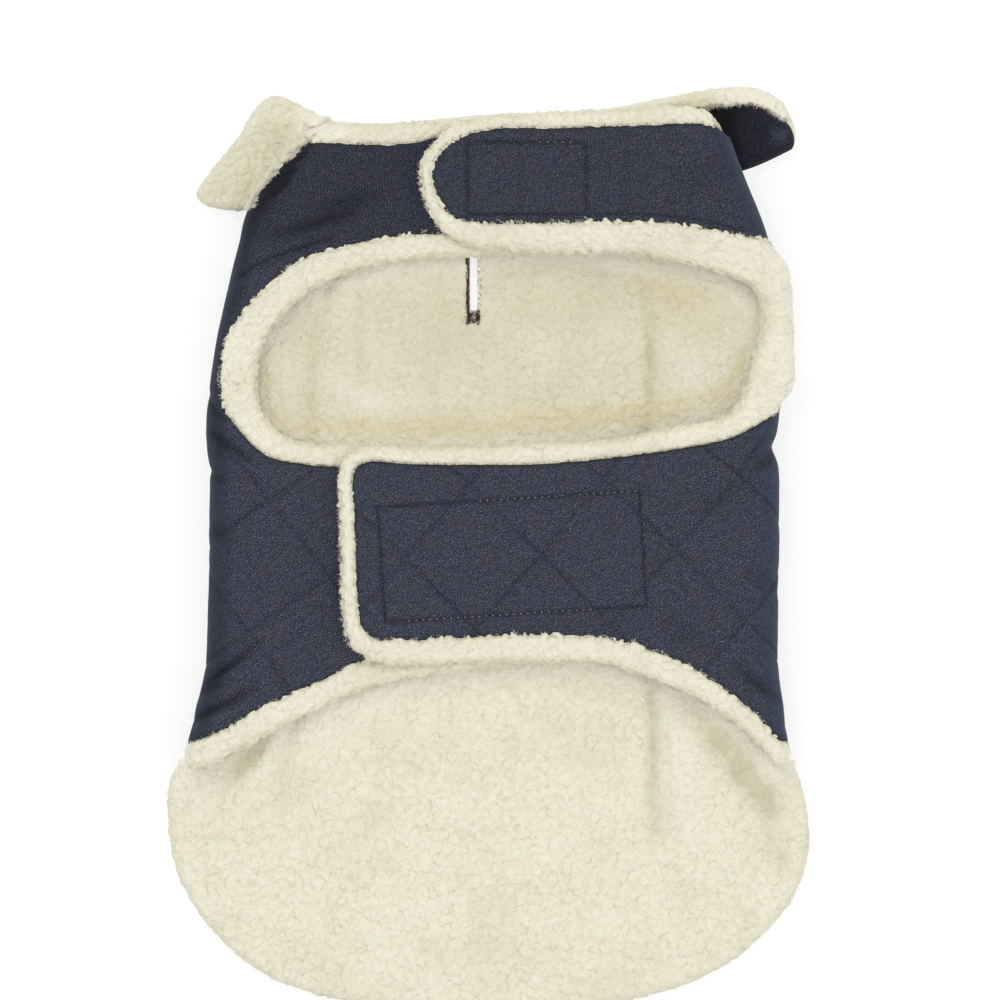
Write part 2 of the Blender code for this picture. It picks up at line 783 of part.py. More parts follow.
def make_materials():
    made = {}
    for name, (colour, roughness) in COLOURS.items():
        material = bpy.data.materials.new(name)
        material.use_nodes = True
        shader = material.node_tree.nodes["Principled BSDF"]
        shader.inputs["Base Color"].default_value = (*colour, 1.0)
        shader.inputs["Roughness"].default_value = roughness
        shader.inputs["Metallic"].default_value = 0.0
        material.diffuse_color = (*colour, 1.0)
        made[name] = material
    return made


def roll(points, outline):
    """How far each face of a lining is rounded off towards its edge."""
    return np.interp(distance(outline, points), [0.0, *ROLL_INSETS], ROLL_FALL)


def quilt_frame(side, points):
    """Places on a front counted in diamonds."""
    crossing, first, second = (np.array(v) for v in QUILT[side])
    unfolded = SIGN[side] * (fold_x(side, crossing[1]) - FOLD_RADIUS + QUARTER - points[:, 0])
    flat = np.column_stack([unfolded, points[:, 1]]) - crossing
    return np.linalg.solve(np.column_stack([first, second]), flat.T).T


def quilt_points(side, outline):
    """Lines along the grooves of the quilting, and points over its puffs."""
    crossing, first, second = (np.array(v) for v in QUILT[side])
    low, high = outline.min(axis=0), outline.max(axis=0)

    def on_cloth(uv):
        flat = crossing + uv[:, :1] * first + uv[:, 1:] * second
        s = fold_x(side, crossing[1]) - FOLD_RADIUS + QUARTER - SIGN[side] * flat[:, 0]
        points = np.column_stack([s, flat[:, 1]])
        within = ((points > low) & (points < high)).all(axis=1)
        return points[within & (points[:, 0] > QUARTER + APART) & (points[:, 1] < QUILT_TOP)]

    counts = np.arange(-7, 8)
    stops = np.sort(np.concatenate([counts + stop for stop in QUILT_STOPS]))
    along = np.sort(np.concatenate([counts, stops]))
    grooves = []
    for n in counts:
        grooves.append(on_cloth(np.column_stack([np.full(len(along), n), along])))
        grooves.append(on_cloth(np.column_stack([along, np.full(len(along), n)])))
    u, v = np.meshgrid(stops, stops)
    return [chain for chain in grooves if len(chain) > 1], on_cloth(np.column_stack([u.ravel(), v.ravel()]))


def puff(side, points, outline):
    """Relief of the quilting on a front's denim, flat where the other front covers it and on the underside."""
    uv = quilt_frame(side, points)
    pillow = np.abs(np.sin(np.pi * uv[:, 0]) * np.sin(np.pi * uv[:, 1])) ** GROOVE_SHARPNESS
    s, y = points[:, 0], points[:, 1]
    shown = smoothstep((s - QUILT_LOW) / 12.0) * smoothstep((QUILT_TOP - y) / 14.0)
    shown *= smoothstep(distance(outline, points) / 5.0)
    x = SIGN[side] * (fold_x(side, y) - FOLD_RADIUS - (s - QUARTER))
    if side == "left":
        shown *= smoothstep((LAP_X - x) / 5.0)
    return PUFF * pillow * shown


def pad_rings(side):
    """Points on the outline of each pad and round the foot of the rise over it."""
    rings = []
    for name, (centre_x, centre_y, length, width, turn) in PADS.items():
        c, s = math.cos(math.radians(turn)), math.sin(math.radians(turn))
        for out in (PAD_CLEAR - PAD_MARGIN, PAD_CLEAR + PAD_RAMP / 2, PAD_CLEAR + PAD_RAMP):
            half = np.array([length / 2 + out, width / 2 + out])
            corners = half * np.array([(-1, -1), (1, -1), (1, 1), (-1, 1)])
            ring = closed_outline([tuple(p) for p in corners], [True] * 4, FRONT_STEP)
            x = centre_x + ring[:, 0] * c - ring[:, 1] * s
            y = centre_y + ring[:, 0] * s + ring[:, 1] * c
            depth = fold_x(side, y) - SIGN[side] * x
            ring = np.column_stack([QUARTER + depth - FOLD_RADIUS, y])
            rings.append(np.vstack([ring, ring[:1]]))
    return rings


def front_fill(outline):
    low, high = outline.min(axis=0), outline.max(axis=0)
    return [lattice((QUARTER + 8.0, low[1]), high, FRONT_STEP)]


def front_lines(outline):
    low, high = outline.min(axis=0), outline.max(axis=0)
    return lift_rows(QUARTER + 6.0, high[0], FRONT_STEP) + fold_columns(low[1], high[1], FOLD_STEP)


def leg_bulge(points, covered):
    """How far the lining stands out past the right side fold along the leg opening."""
    s, y = points[:, 0], points[:, 1]
    along = smoothstep((y - BULGE_LOW) / BULGE_FADE) * smoothstep((BULGE_HIGH - y) / BULGE_FADE)
    round_fold = smoothstep((QUARTER + 2.0 - s) / 12.0)
    return BULGE * along * round_fold * smoothstep((covered - STEP_UP) / BULGE_ROUND)


def front_roll(points, lining, covered):
    """How far a front lining is rounded off: not at its seam with the back, nor inside the denim's edge."""
    clear_of_seam = smoothstep((points[:, 0] + QUARTER + SEAM_DEPTH - FOLD_RADIUS) / 3.0)
    return roll(points, lining) * clear_of_seam * (covered > 0)


def make_front(side, shell_rows, lining_rows, materials):
    shell = front_outline(side, shell_rows)
    lining = front_outline(side, lining_rows)
    pads = pad_rings(side) if side == "right" else []

    grooves, puffs = quilt_points(side, shell)
    lines = pads + front_lines(lining)
    rough = Sheet(shell, lines=grooves + lines, fill=[puffs] + front_fill(lining))
    plain = Sheet(shell, lines=lines, fill=front_fill(lining))
    outer = place_front(side, rough.points, -puff(side, rough.points, shell))
    inner = place_front(side, plain.points, np.full(len(plain.points), SHELL))
    closed_solid(f"{side}_front_shell", materials["denim"], rough, plain, outer, inner)

    steps = [ring_round(shell, out) for out in STEPS]
    insets = [ring_round(lining, -step_in) for step_in in ROLL_INSETS]
    top = Sheet(lining, lines=lines, rings=steps + insets, fill=front_fill(lining), beside=shell)
    bottom = Sheet(lining, lines=lines, rings=insets, fill=front_fill(lining))
    covered = outside_distance(shell, top.points)
    face = np.interp(covered, [STEP_OUT, STEP_UP], [SHELL + LAYER_GAP, -PROUD])
    if side == "right":
        face = face - leg_bulge(top.points, covered)
    outer = place_front(side, top.points, face + front_roll(top.points, lining, covered))
    covered = outside_distance(shell, bottom.points)
    inner = place_front(side, bottom.points, PLY - front_roll(bottom.points, lining, covered))
    closed_solid(f"{side}_front_lining", materials["pile"], top, bottom, outer, inner)


def welt_outline(grow):
    """The leash slot's outline, a rectangle with its corners cut."""
    half = SLOT_HALF + grow
    low, high = SLOT_LOW - grow, SLOT_HIGH + grow
    if grow:
        low -= WELT_END - WELT
    corners = cut_rectangle(SLOT_X - half, low, SLOT_X + half, high, WELT_CORNER)
    return closed_outline(corners, [True] * 8, WELT_STEP)


def cut_rectangle(left, low, right, high, cut):
    """The eight corners of a rectangle whose own corners are cut off."""
    return [
        (left, low + cut), (left + cut, low), (right - cut, low), (right, low + cut),
        (right, high - cut), (right - cut, high), (left + cut, high), (left, high - cut),
    ]


def crease(points):
    """Depth of the soft troughs along the back lining's two creases."""
    x, y = points[:, 0], points[:, 1]
    shown = smoothstep((CREASE_TOP - y) / CREASE_FADE) * smoothstep((y - CREASE_END) / (2 * CREASE_FADE))
    deep = np.zeros(len(points))
    for side in ("left", "right"):
        depth = fold_x(side, y) - SIGN[side] * x
        deep += CREASE_DEEP * np.exp(-(((depth - CREASE_DEPTH[side]) / CREASE_WIDE) ** 2)) * shown
    return deep


def crease_lines(asides):
    """Points down each crease and beside it."""
    lines = []
    ys = np.arange(CREASE_END, CREASE_TOP, BACK_STEP)
    for side in ("left", "right"):
        for aside in asides:
            depth = CREASE_DEPTH[side] + aside
            lines.append(np.column_stack([SIGN[side] * (fold_x(side, ys) - depth), ys]))
    return lines


def at_tail(points):
    """1 on the tail flap, whose edge is free, and 0 along the seams with the fronts."""
    return smoothstep((TAIL_TOP - points[:, 1]) / 6.0)


def make_back(materials):
    left, right = seam_line("left"), seam_line("right")
    neck_x = np.linspace(left[0, 0], right[0, 0] + NECK_SPREAD, NECK_STATIONS)
    neck = np.column_stack([neck_x, neck_y(neck_x) - RIDGE_DEEP - SEAM_GAP])
    tail = curve_through(np.vstack([left[-1:], TAIL_EDGE, right[-1:]]), EDGE_STEP)
    lining = np.vstack([neck[::-1], left, tail[1:-1], right[::-1]])
    tail_in, _ = offset(lining, -TAIL_INSET)
    start = len(neck) + len(left)
    tail_in = tail_in[start + 2:start + len(tail) - 4]
    into = curve_through([left[-1], tail_in[0]], EDGE_STEP / 2)[1:-1]
    out_of = curve_through([tail_in[-1], right[-1]], EDGE_STEP / 2)[1:-1]
    shell = np.vstack([neck[::-1], left, into, tail_in, out_of, right[::-1]])
    slot = welt_outline(WELT + SEAM_GAP)

    low, high = lining.min(axis=0), lining.max(axis=0)
    grid = lattice(low, high, BACK_STEP)
    lines = lift_rows(low[0], high[0], BACK_STEP) + crease_lines([0.0])
    plain = Sheet(shell, holes=[slot], lines=lines, fill=[grid])
    count = len(plain.points)
    closed_solid("back_shell", materials["denim"], plain, plain,
                 place_back(plain.points, np.zeros(count)), place_back(plain.points, np.full(count, SHELL)))

    edge_run = slice(start - 1, start + len(into) + len(tail_in) + len(out_of) + 1)
    rings = [(offset(shell, out)[0] if out else shell)[edge_run] for out in STEPS]
    tail_run = slice(start + 1, start + len(tail) - 2)
    insets = [offset(lining, -step_in)[0][tail_run] for step_in in ROLL_INSETS]
    bottom = Sheet(lining, holes=[slot], lines=lines, rings=rings + insets, fill=[grid], beside=shell)
    beside_creases = crease_lines([-CREASE_ASIDE, CREASE_ASIDE])
    top = Sheet(lining, holes=[slot], lines=lines, rings=insets, fill=beside_creases + [grid])
    covered = outside_distance(shell, bottom.points)
    flap = at_tail(bottom.points)
    face = (SHELL + LAYER_GAP) * (1.0 - np.interp(covered, [STEP_OUT, STEP_UP], [0.0, 1.0]) * flap)
    lower = place_back(bottom.points, face + roll(bottom.points, lining) * flap * (covered > 0))
    rounded = PLY - roll(top.points, lining) * at_tail(top.points)
    upper = place_back(top.points, rounded - crease(top.points))
    closed_solid("back_lining", materials["pile"], top, bottom, upper, lower)

    welt = Sheet(welt_outline(WELT), holes=[welt_outline(0.0)], lines=[])
    count = len(welt.points)
    closed_solid("leash_slot_binding", materials["welt"], welt, welt,
                 place_back(welt.points, np.full(count, PLY)), place_back(welt.points, np.zeros(count)))


def make_pads(materials):
    for name, (centre_x, centre_y, length, width, turn) in PADS.items():
        c, s = math.cos(math.radians(turn)), math.sin(math.radians(turn))
        corners = cut_rectangle(-length / 2, -width / 2, length / 2, width / 2, PAD_CORNER)
        ring = closed_outline(corners, [True] * 8, FRONT_STEP)
        turned = [ring[:, 0] * c - ring[:, 1] * s, ring[:, 0] * s + ring[:, 1] * c]
        outline = np.column_stack([centre_x + turned[0], centre_y + turned[1]])
        low, high = outline.min(axis=0), outline.max(axis=0)
        sheet = Sheet(outline, lines=lift_rows(low[0], high[0], FRONT_STEP))
        for kind, base in (("loop", TAPE_GAP), ("hook", 2 * TAPE_GAP + TAPE)):
            low_z = floor_lift(sheet.points[:, 1]) + LEFT_REST + base
            lower = np.column_stack([sheet.points, low_z])
            upper = np.column_stack([sheet.points, low_z + TAPE])
            closed_solid(f"{name}_{kind}_pad", materials["tape"], sheet, sheet, upper, lower)


def collar_heights(points, outline, denim):
    """Lower and upper height of the collar's pile side."""
    x, y = points[:, 0], points[:, 1]
    edge = distance(outline, points)
    ridge = smoothstep((y - (neck_y(x) - RIDGE_DEEP)) / RIDGE_STEEP)
    ridge_top = RIDGE_TOP + (RIDGE_TOP_TIP - RIDGE_TOP) * smoothstep((x - TIP_START) / TIP_LENGTH)
    plate = TIP_TOP + (RIDGE_TOP - TIP_TOP) * smoothstep((y - PLATE_RISE) / PLATE_RISE_LENGTH)
    upper = ARM + (ridge_top - ARM) * ridge
    upper = upper + (plate - upper) * smoothstep((PLATE_X - x) / 4.0)
    over_denim = np.interp(outside_distance(denim, points), [STEP_OUT, STEP_UP], [1.0, 0.0])
    over_denim = np.maximum(over_denim, smoothstep((x - PLATE_HIDDEN) / 4.0)) * (x < UNDER_RAMP[0])
    lower = (UNDER_COLLAR + LAYER_GAP) * over_denim
    fall = np.interp(edge, [0.0, *ROLL_INSETS], COLLAR_FALL) * (upper - lower)
    return lower + fall * (over_denim == 0), upper - fall


def make_collar(materials):
    outline = closed_outline([row[:2] for row in COLLAR_TOP], [row[2] for row in COLLAR_TOP], EDGE_STEP)
    denim = closed_outline([row[:2] for row in COLLAR_UNDER], [row[2] for row in COLLAR_UNDER], EDGE_STEP)
    ridge_x = np.linspace(-64.0, 140.0, 20)
    rings = [np.column_stack([ridge_x, neck_y(ridge_x) - RIDGE_DEEP + out]) for out in (0.1, RIDGE_STEEP)]
    rings += [ring_round(denim, out, lambda moved: moved[:, 0] < UNDER_RAMP[0]) for out in STEPS]
    rings += [ring_round(outline, -step_in) for step_in in ROLL_INSETS]
    low, high = outline.min(axis=0), outline.max(axis=0)
    sheet = Sheet(outline, rings=rings, fill=[lattice(low, high, COLLAR_STEP)])
    lower, upper = collar_heights(sheet.points, outline, denim)
    closed_solid("collar_top", materials["pile"], sheet, sheet,
                 np.column_stack([sheet.points, upper]), np.column_stack([sheet.points, lower]))

    low, high = denim.min(axis=0), denim.max(axis=0)
    across = np.linspace(low[1], high[1], 6)
    columns = [np.column_stack([np.full(6, x), across]) for x in np.linspace(*UNDER_RAMP, 5)]
    sheet = Sheet(denim, lines=columns, fill=[lattice(low, high, FRONT_STEP)])
    climb = smoothstep((sheet.points[:, 0] - UNDER_RAMP[0]) / (UNDER_RAMP[1] - UNDER_RAMP[0]))
    base = (ARM + SEAM_GAP) * climb
    closed_solid("collar_under", materials["denim"], sheet, sheet,
                 np.column_stack([sheet.points, base + UNDER_COLLAR]), np.column_stack([sheet.points, base]))


def main():
    clear_scene()
    materials = make_materials()
    make_back(materials)
    make_front("left", LEFT_SHELL, LEFT_LINING, materials)
    make_front("right", RIGHT_SHELL, RIGHT_LINING, materials)
    make_pads(materials)
    make_collar(materials)


main()
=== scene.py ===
"""Looks of the dog's denim jacket, laid out flat on its back with the belly side up.

Each visible layer is rebuilt as cloth on the form of its own solid. The denim fronts are thin shells with
quilting, creases, a rolled edge and stitches. The pile of the lining and the collar is a relief of curls,
with fibres where it lies on the denim. Sizes are in millimetres and the meshes in metres. X runs to the
viewer's right, Y towards the neck and Z up. On a front, `s` is the length along the cloth from the outermost
line of the side fold, positive over the top and negative underneath, and `inward` is the depth below the
denim's outer face.
"""

import math

import bmesh
import bpy
import numpy as np
from bpy.props import FloatProperty, FloatVectorProperty, IntProperty, PointerProperty
from mathutils import Matrix, Vector


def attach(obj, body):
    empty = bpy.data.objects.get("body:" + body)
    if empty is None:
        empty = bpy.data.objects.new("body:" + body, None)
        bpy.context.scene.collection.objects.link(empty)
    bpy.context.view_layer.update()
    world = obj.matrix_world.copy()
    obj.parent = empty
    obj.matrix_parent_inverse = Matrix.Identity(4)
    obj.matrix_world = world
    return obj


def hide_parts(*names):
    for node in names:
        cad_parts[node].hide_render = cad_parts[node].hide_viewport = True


bl_info = {
    "name": "Laid Dog Jacket",
    "version": (1, 0, 0),
    "blender": (4, 5, 0),
    "location": "3D View > Sidebar > Jacket",
    "description": "Builds a dog's denim jacket with a pile lining, laid out flat",
    "category": "Add Mesh",
}

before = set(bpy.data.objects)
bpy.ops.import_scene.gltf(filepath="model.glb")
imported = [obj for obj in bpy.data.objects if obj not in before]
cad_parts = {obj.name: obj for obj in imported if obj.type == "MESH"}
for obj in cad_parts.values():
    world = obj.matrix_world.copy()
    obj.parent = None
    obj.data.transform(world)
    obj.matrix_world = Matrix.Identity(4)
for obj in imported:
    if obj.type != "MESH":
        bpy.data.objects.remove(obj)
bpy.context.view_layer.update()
MM = 0.001
SIDES = ("left", "right")

# The layers, the folds and the heights of what lies on what, as the solids have them
SHELL, LAYER_GAP, LINING = 1.8, 0.4, 4.8
PLY = SHELL + LAYER_GAP + LINING
PROUD = 0.6
SEAM_GAP = 0.3
FOLD_RADIUS = 10.0
SIDE_LIFT = 3.0
QUARTER = FOLD_RADIUS * math.pi / 2
FOLD_TOP = SIDE_LIFT + 2 * FOLD_RADIUS
SETTLE = 50.0
LEFT_REST = 2 * PLY + LAYER_GAP
LAP_GAP = PROUD + LAYER_GAP
RIGHT_REST = LEFT_REST + LAP_GAP + PLY
SEAM_DEPTH = FOLD_RADIUS + 4.0
SEAM_S = -(QUARTER + SEAM_DEPTH - FOLD_RADIUS)
SEAM_TOP, SEAM_END = 193.0, -96.6
NECK_SPREAD = 1.5
COLLAR_LIFT, LIFT_START, LIFT_LENGTH = 7.2, 130.0, 28.0
BULGE, BULGE_LOW, BULGE_HIGH, BULGE_FADE = 6.6, 60.0, 150.0, 22.0
TAPE, TAPE_GAP = 1.0, 0.3
PAD_RISE = 2 * TAPE + 3 * TAPE_GAP - LAP_GAP
PAD_RAMP, PAD_CLEAR = 8.0, 1.6
PADS = {  # centre x, centre y, length, width, turn in degrees
    "neck": (18.4, 175.6, 54.0, 32.0, 0.0),
    "belly": (11.4, -3.2, 122.0, 52.5, 3.6),
}
QUILT = {  # crossing, first side, second side
    "left": ((-75.2, -13.0), (37.6, 25.8), (29.0, -36.6)),
    "right": ((89.0, 0.0), (30.0, 35.5), (34.0, -33.5)),
}
QUILT_TOP = 62.0
CREASE_DEPTH = {"left": 47.0, "right": 60.0}
TAIL_FLAT, TAIL_RAISED, TAIL_INSET = -130.0, -95.0, 11.0
SLOT_X, SLOT_LOW, SLOT_HIGH, SLOT_HALF, WELT, WELT_END = -6.9, 113.0, 147.0, 1.7, 1.9, 6.0
RIDGE_DEEP, RIDGE_TOP, RIDGE_TOP_TIP, ARM = 9.0, 14.2, 9.0, 4.8
UNDER_COLLAR, TIP_TOP, TIP_START, TIP_LENGTH = 1.8, 8.4, 108.0, 36.0
PLATE_X, PLATE_RISE, PLATE_RISE_LENGTH = -84.0, 190.0, 18.0
UNDER_RAMP = (-86.0, -69.0)

# The pile, the rolled edges and the shades that scene alone has
CROWN = 1.0  # height of the pile's roll over the denim's face
TUCK = 3.2  # how far the pile's edge runs on under the denim
UNDER_RUN = 4.0  # how far a rolled edge runs back underneath
EDGE_ROUND = 1.6  # radius of the denim's rolled edge
LOOSE = 0.4  # how far the pile stands over its solid
COARSE_STEP = 2.4  # grid of the pile that hardly shows
BACK_DENIM_STEP, COLLAR_DENIM_STEP, TIP_LAP_STEP, SLOT_STEP = 2.6, 1.3, 0.9, 0.42
PAST_SEAM = 12.0  # how far the inner pile's outline runs on past the seam
CLIMB = 14.0  # how high the left tip's pile climbs the fold that it lies against
RIM_STEP = 0.12  # least height of the wall at the collar's rim
NECK_DEEP = {"left": 0.36, "right": 0.15}  # darker denim towards the neck
# Painted shade round the left side fold
SIDE_DEEP = {"left": 0.45, "right": 0.0}  # darker denim round the side fold
TWILL_TURN, TWILL_PITCH = math.radians(-58.0), 0.00115
FRAME_X, FRAME_Y, FRAME_SIDE, MIDDLE_HEIGHT = 0.0057, 0.0236, 0.476, 0.010
LENS, SENSOR = 200.0, 36.0
FLOOR_GLOW, WORLD_LIGHT = 0.716, 0.865
LIGHTS = (  # name, place from the jacket's middle, size, power
    ("key", (-0.7, 0.9, 1.7), 1.3, 8.5),
    ("fill", (1.1, -0.6, 1.5), 1.6, 5.0),
)

SIGN = {"left": -1.0, "right": 1.0}
UNDER = True  # marks a place underneath, given by its depth from the fold in place of its X
CORNER = True  # marks a place where an outline turns a corner
UP = (0.0, 0.0, 1.0)
TABLE = 64  # size of the tables of random numbers behind noise and curls
FIBRE_BEND = 0.25  # how far a fibre bends, as a share of its length
FRAYED_COUNT, LAP_COUNT, COLLAR_COUNT, TIP_COUNT = 2600, 5200, 2600, 1300
PALE_STITCHES = {  # side of the pad's outline, and from where to where along it
    "belly": ((2, 0.0, 0.24), (2, 0.28, 0.62), (0, 0.08, 0.80)),
    "neck": ((2, 0.1, 0.42),),
}
# Outermost lines of the side folds: y, the left one's x, the right one's x
FOLD_LINES = (
    (222.0, -70.0, 107.0), (192.5, -89.5, 115.5), (180.0, -101.4, 120.4), (161.0, -114.2, 128.5),
    (145.4, -118.5, 133.8), (127.0, -123.3, 136.5), (94.0, -130.0, 138.0), (63.0, -133.8, 138.3),
    (48.8, -132.8, 134.9), (37.0, -131.4, 137.4), (14.5, -131.9, 138.0), (-49.3, -133.0, 137.0),
    (-79.3, -139.0, 140.2), (-97.8, -143.3, 142.8), (-125.0, -146.5, 144.5),
)
# Outlines of the fronts' denim and pile: x, y over the top; depth from the fold, y underneath
LEFT_SHELL = (
    (0.0, 193.0, UNDER), (-86.6, 193.5), (-69.5, 193.0), (-38.6, 193.0), (-22.8, 196.5), (4.8, 198.0),
    (40.0, 197.0), (56.0, 189.0), (61.0, 176.0), (56.0, 163.0), (40.0, 154.0), (10.0, 149.0),
    (-34.7, 148.3), (-59.0, 145.0), (-88.5, 136.4), (-104.0, 123.5), (-116.0, 110.5), (-123.0, 99.7),
    (-125.7, 86.0), (-124.3, 70.2), (-117.6, 57.8), (-107.6, 47.2), (-96.0, 42.6), (-69.0, 39.7),
    (-20.0, 38.5), (66.0, 38.0), (80.0, 31.0), (83.0, 14.0), (83.0, -20.0), (79.0, -34.0), (64.0, -41.0),
    (6.0, -46.0), (-30.0, -49.5), (-58.0, -54.0), (-82.8, -65.0), (-110.4, -77.8), (-125.2, -86.4),
    (0.0, -94.5, UNDER),
)
LEFT_LINING = (
    (1.0, 196.0, UNDER), (-85.0, 200.6), (-69.5, 201.4), (-48.0, 201.1), (-22.8, 203.4), (4.8, 204.6),
    (44.0, 203.5), (61.0, 195.0), (68.0, 176.0), (61.0, 157.0), (44.0, 145.5), (12.0, 139.7),
    (-27.6, 138.6), (-59.0, 134.0), (-78.5, 126.5), (-95.0, 114.0), (-105.0, 101.6), (-109.3, 87.0),
    (-108.4, 70.0), (-102.0, 58.5), (-91.0, 51.8), (-70.0, 49.8), (-20.0, 48.6), (70.0, 46.5), (86.0, 38.0),
    (90.0, 20.0), (90.0, -24.0), (85.0, -42.0), (68.0, -50.0), (6.0, -56.0), (-30.0, -60.0), (-56.0, -65.3),
    (-82.8, -76.6), (-104.0, -87.5), (-125.2, -98.6), (-138.5, -104.5), (0.0, -99.0, UNDER),
    (1.5, -96.6, UNDER),
)
RIGHT_SHELL = (
    (0.0, 195.5, UNDER), (108.0, 200.3), (96.2, 202.3), (72.8, 201.6), (30.5, 200.2), (4.8, 200.0),
    (-12.4, 196.4), (-23.8, 188.0), (-27.6, 177.0), (-22.5, 162.0), (-12.4, 154.5), (4.8, 152.8),
    (54.7, 153.8), (79.0, 153.8), (103.3, 150.7), (122.0, 146.8), (0.2, 143.5, UNDER), (0.4, 125.0, UNDER),
    (0.4, 90.0, UNDER), (0.1, 72.0, UNDER), (130.4, 62.1), (119.0, 55.5), (104.7, 51.2), (71.4, 45.9),
    (20.5, 41.2), (-32.8, 41.2), (-57.0, 42.6), (-64.6, 35.5), (-64.3, 14.5), (-62.0, -31.0),
    (-56.5, -41.0), (-44.7, -44.0), (20.5, -41.4), (57.6, -43.6), (91.4, -54.5), (115.2, -70.0),
    (127.6, -80.2), (137.0, -90.5), (0.5, -94.8, UNDER),
)
RIGHT_LINING = (
    (1.0, 197.5, UNDER), (108.0, 206.5), (92.0, 209.6), (72.8, 209.4), (30.5, 206.8), (2.9, 205.4),
    (-16.0, 200.6), (-28.5, 189.5), (-33.0, 177.0), (-28.0, 159.0), (-18.0, 147.6), (-2.0, 142.0),
    (34.3, 140.8), (68.5, 140.6), (89.0, 136.4), (109.5, 131.6), (125.0, 124.5), (130.5, 110.5),
    (127.0, 96.4), (122.5, 78.0), (117.5, 67.0), (108.0, 61.4), (81.9, 57.4), (53.8, 51.8), (-3.8, 48.9),
    (-42.0, 48.2), (-61.0, 48.2), (-70.6, 37.5), (-70.6, 12.0), (-69.0, -36.0), (-61.0, -49.5),
    (-42.0, -54.5), (20.5, -52.6), (57.6, -55.0), (91.4, -66.4), (112.0, -78.5), (128.0, -92.0),
    (137.5, -102.5), (0.0, -99.0, UNDER), (1.5, -96.6, UNDER),
)
# The back's edge from the left seam round the tail, and the neck's top edge: x, y
TAIL_EDGE = (
    (-137.0, -98.4), (-146.5, -103.0), (-151.6, -111.5), (-152.8, -126.0), (-150.4, -146.0),
    (-143.8, -163.5), (-132.8, -180.0), (-118.0, -194.6), (-98.0, -206.6), (-70.0, -214.8), (-36.0, -218.9),
    (0.0, -220.2), (38.0, -218.7), (70.4, -214.2), (98.0, -206.0), (118.0, -194.6), (133.8, -181.0),
    (145.5, -166.0), (151.6, -150.0), (152.8, -134.0), (150.6, -116.5), (145.4, -103.5), (136.5, -98.4),
)
NECK_LINE = (
    (-102.8, 215.9), (-86.6, 210.2), (-77.1, 205.0), (-48.1, 202.9), (2.9, 207.3), (50.0, 208.9),
    (85.2, 215.4), (110.4, 219.7), (127.6, 220.1), (140.0, 213.5),
)
# Outlines of the collar's pile and denim sides: x, y
COLLAR_TOP = (
    (-139.0, 171.0), (-134.2, 177.8), (-127.0, 187.0), (-118.5, 197.5), (-111.5, 209.5), (-102.8, 215.9),
    (-94.0, 213.8), (-86.0, 209.6), (-77.1, 205.0), (-48.1, 202.9), (2.9, 207.3), (50.0, 208.9),
    (85.2, 215.4), (110.4, 219.7), (127.6, 220.1), (140.0, 213.5), (145.8, 203.0), (146.3, 194.0),
    (141.0, 189.6), (120.4, 180.2), (100.0, 176.5), (50.0, 174.0), (0.0, 173.0), (-66.0, 173.0, CORNER),
    (-66.0, 193.5, CORNER), (-88.0, 195.0, CORNER), (-94.0, 184.0), (-99.0, 174.0), (-106.0, 165.0),
    (-113.0, 162.2), (-124.5, 161.6), (-136.0, 165.0),
)
COLLAR_UNDER = (
    (-70.0, 192.6, CORNER), (-48.0, 193.2), (2.9, 197.7), (50.0, 199.3), (85.2, 205.8), (110.0, 209.4),
    (124.0, 209.9), (136.0, 204.6), (143.5, 199.0), (144.6, 194.4), (139.5, 190.4), (120.0, 182.2),
    (100.0, 178.5), (50.0, 176.0), (0.0, 175.0), (-66.0, 175.0), (-92.0, 174.0), (-106.0, 171.0),
    (-120.0, 169.0), (-129.0, 171.0), (-127.0, 177.0), (-118.0, 187.0), (-108.0, 193.0),
    (-92.0, 192.6, CORNER),
)

# Soft troughs of the denim, which also get painted shade: side, from x, y, to x, y, half width, depth
DENIM_CREASES = (
    ("left", -129.5, 55.0, -113.7, 43.0, 2.6, 1.9), ("left", -131.5, -63.1, -111.8, -46.4, 2.6, 2.4),
    ("left", -138.0, -81.0, -111.5, -66.0, 2.6, 2.2), ("left", -99.6, 149.2, -64.2, 159.6, 3.4, 1.6),
    ("left", -81.0, 162.0, -52.0, 168.0, 4.5, 1.0), ("left", -108.0, 152.0, -96.0, 176.0, 5.0, 0.9),
    ("left", -134.0, 74.0, -126.0, 62.0, 2.4, 1.4), ("left", -133.0, 38.0, -124.0, 33.0, 2.2, 1.4),
    ("left", -118.0, 130.5, -74.0, 149.0, 2.4, 0.8), ("left", -136.0, -70.0, -122.0, -62.0, 2.0, 1.2),
    ("left", -122.0, 112.0, -112.0, 128.0, 3.0, 0.7), ("left", -131.0, 12.0, -119.0, 4.0, 3.5, 0.8),
    ("right", 119.0, -56.0, 136.6, -72.0, 3.0, 1.7), ("right", 126.0, 37.0, 137.0, 49.5, 2.6, 1.8),
    ("right", 124.0, -12.0, 137.0, -20.0, 4.0, 0.8), ("right", 93.0, 172.0, 113.0, 183.0, 5.0, 0.7),
    ("right", 65.7, 156.0, 65.7, 197.0, 2.0, 0.5), ("right", 15.7, 158.0, 15.7, 194.0, 1.6, 0.35),
    ("right", 100.0, 20.0, 118.0, 26.0, 5.0, 0.6), ("right", 84.0, -34.0, 104.0, -44.0, 5.0, 0.6),
)
# Lines of topstitching, x, y along each
TOPSTITCH = {
    "left": (((-117.6, 129.5), (-104.0, 138.0), (-88.0, 143.6), (-73.0, 148.4)),),
    "right": (((51.4, 158.9), (79.0, 158.3), (103.3, 155.4), (121.0, 150.6)),),
}
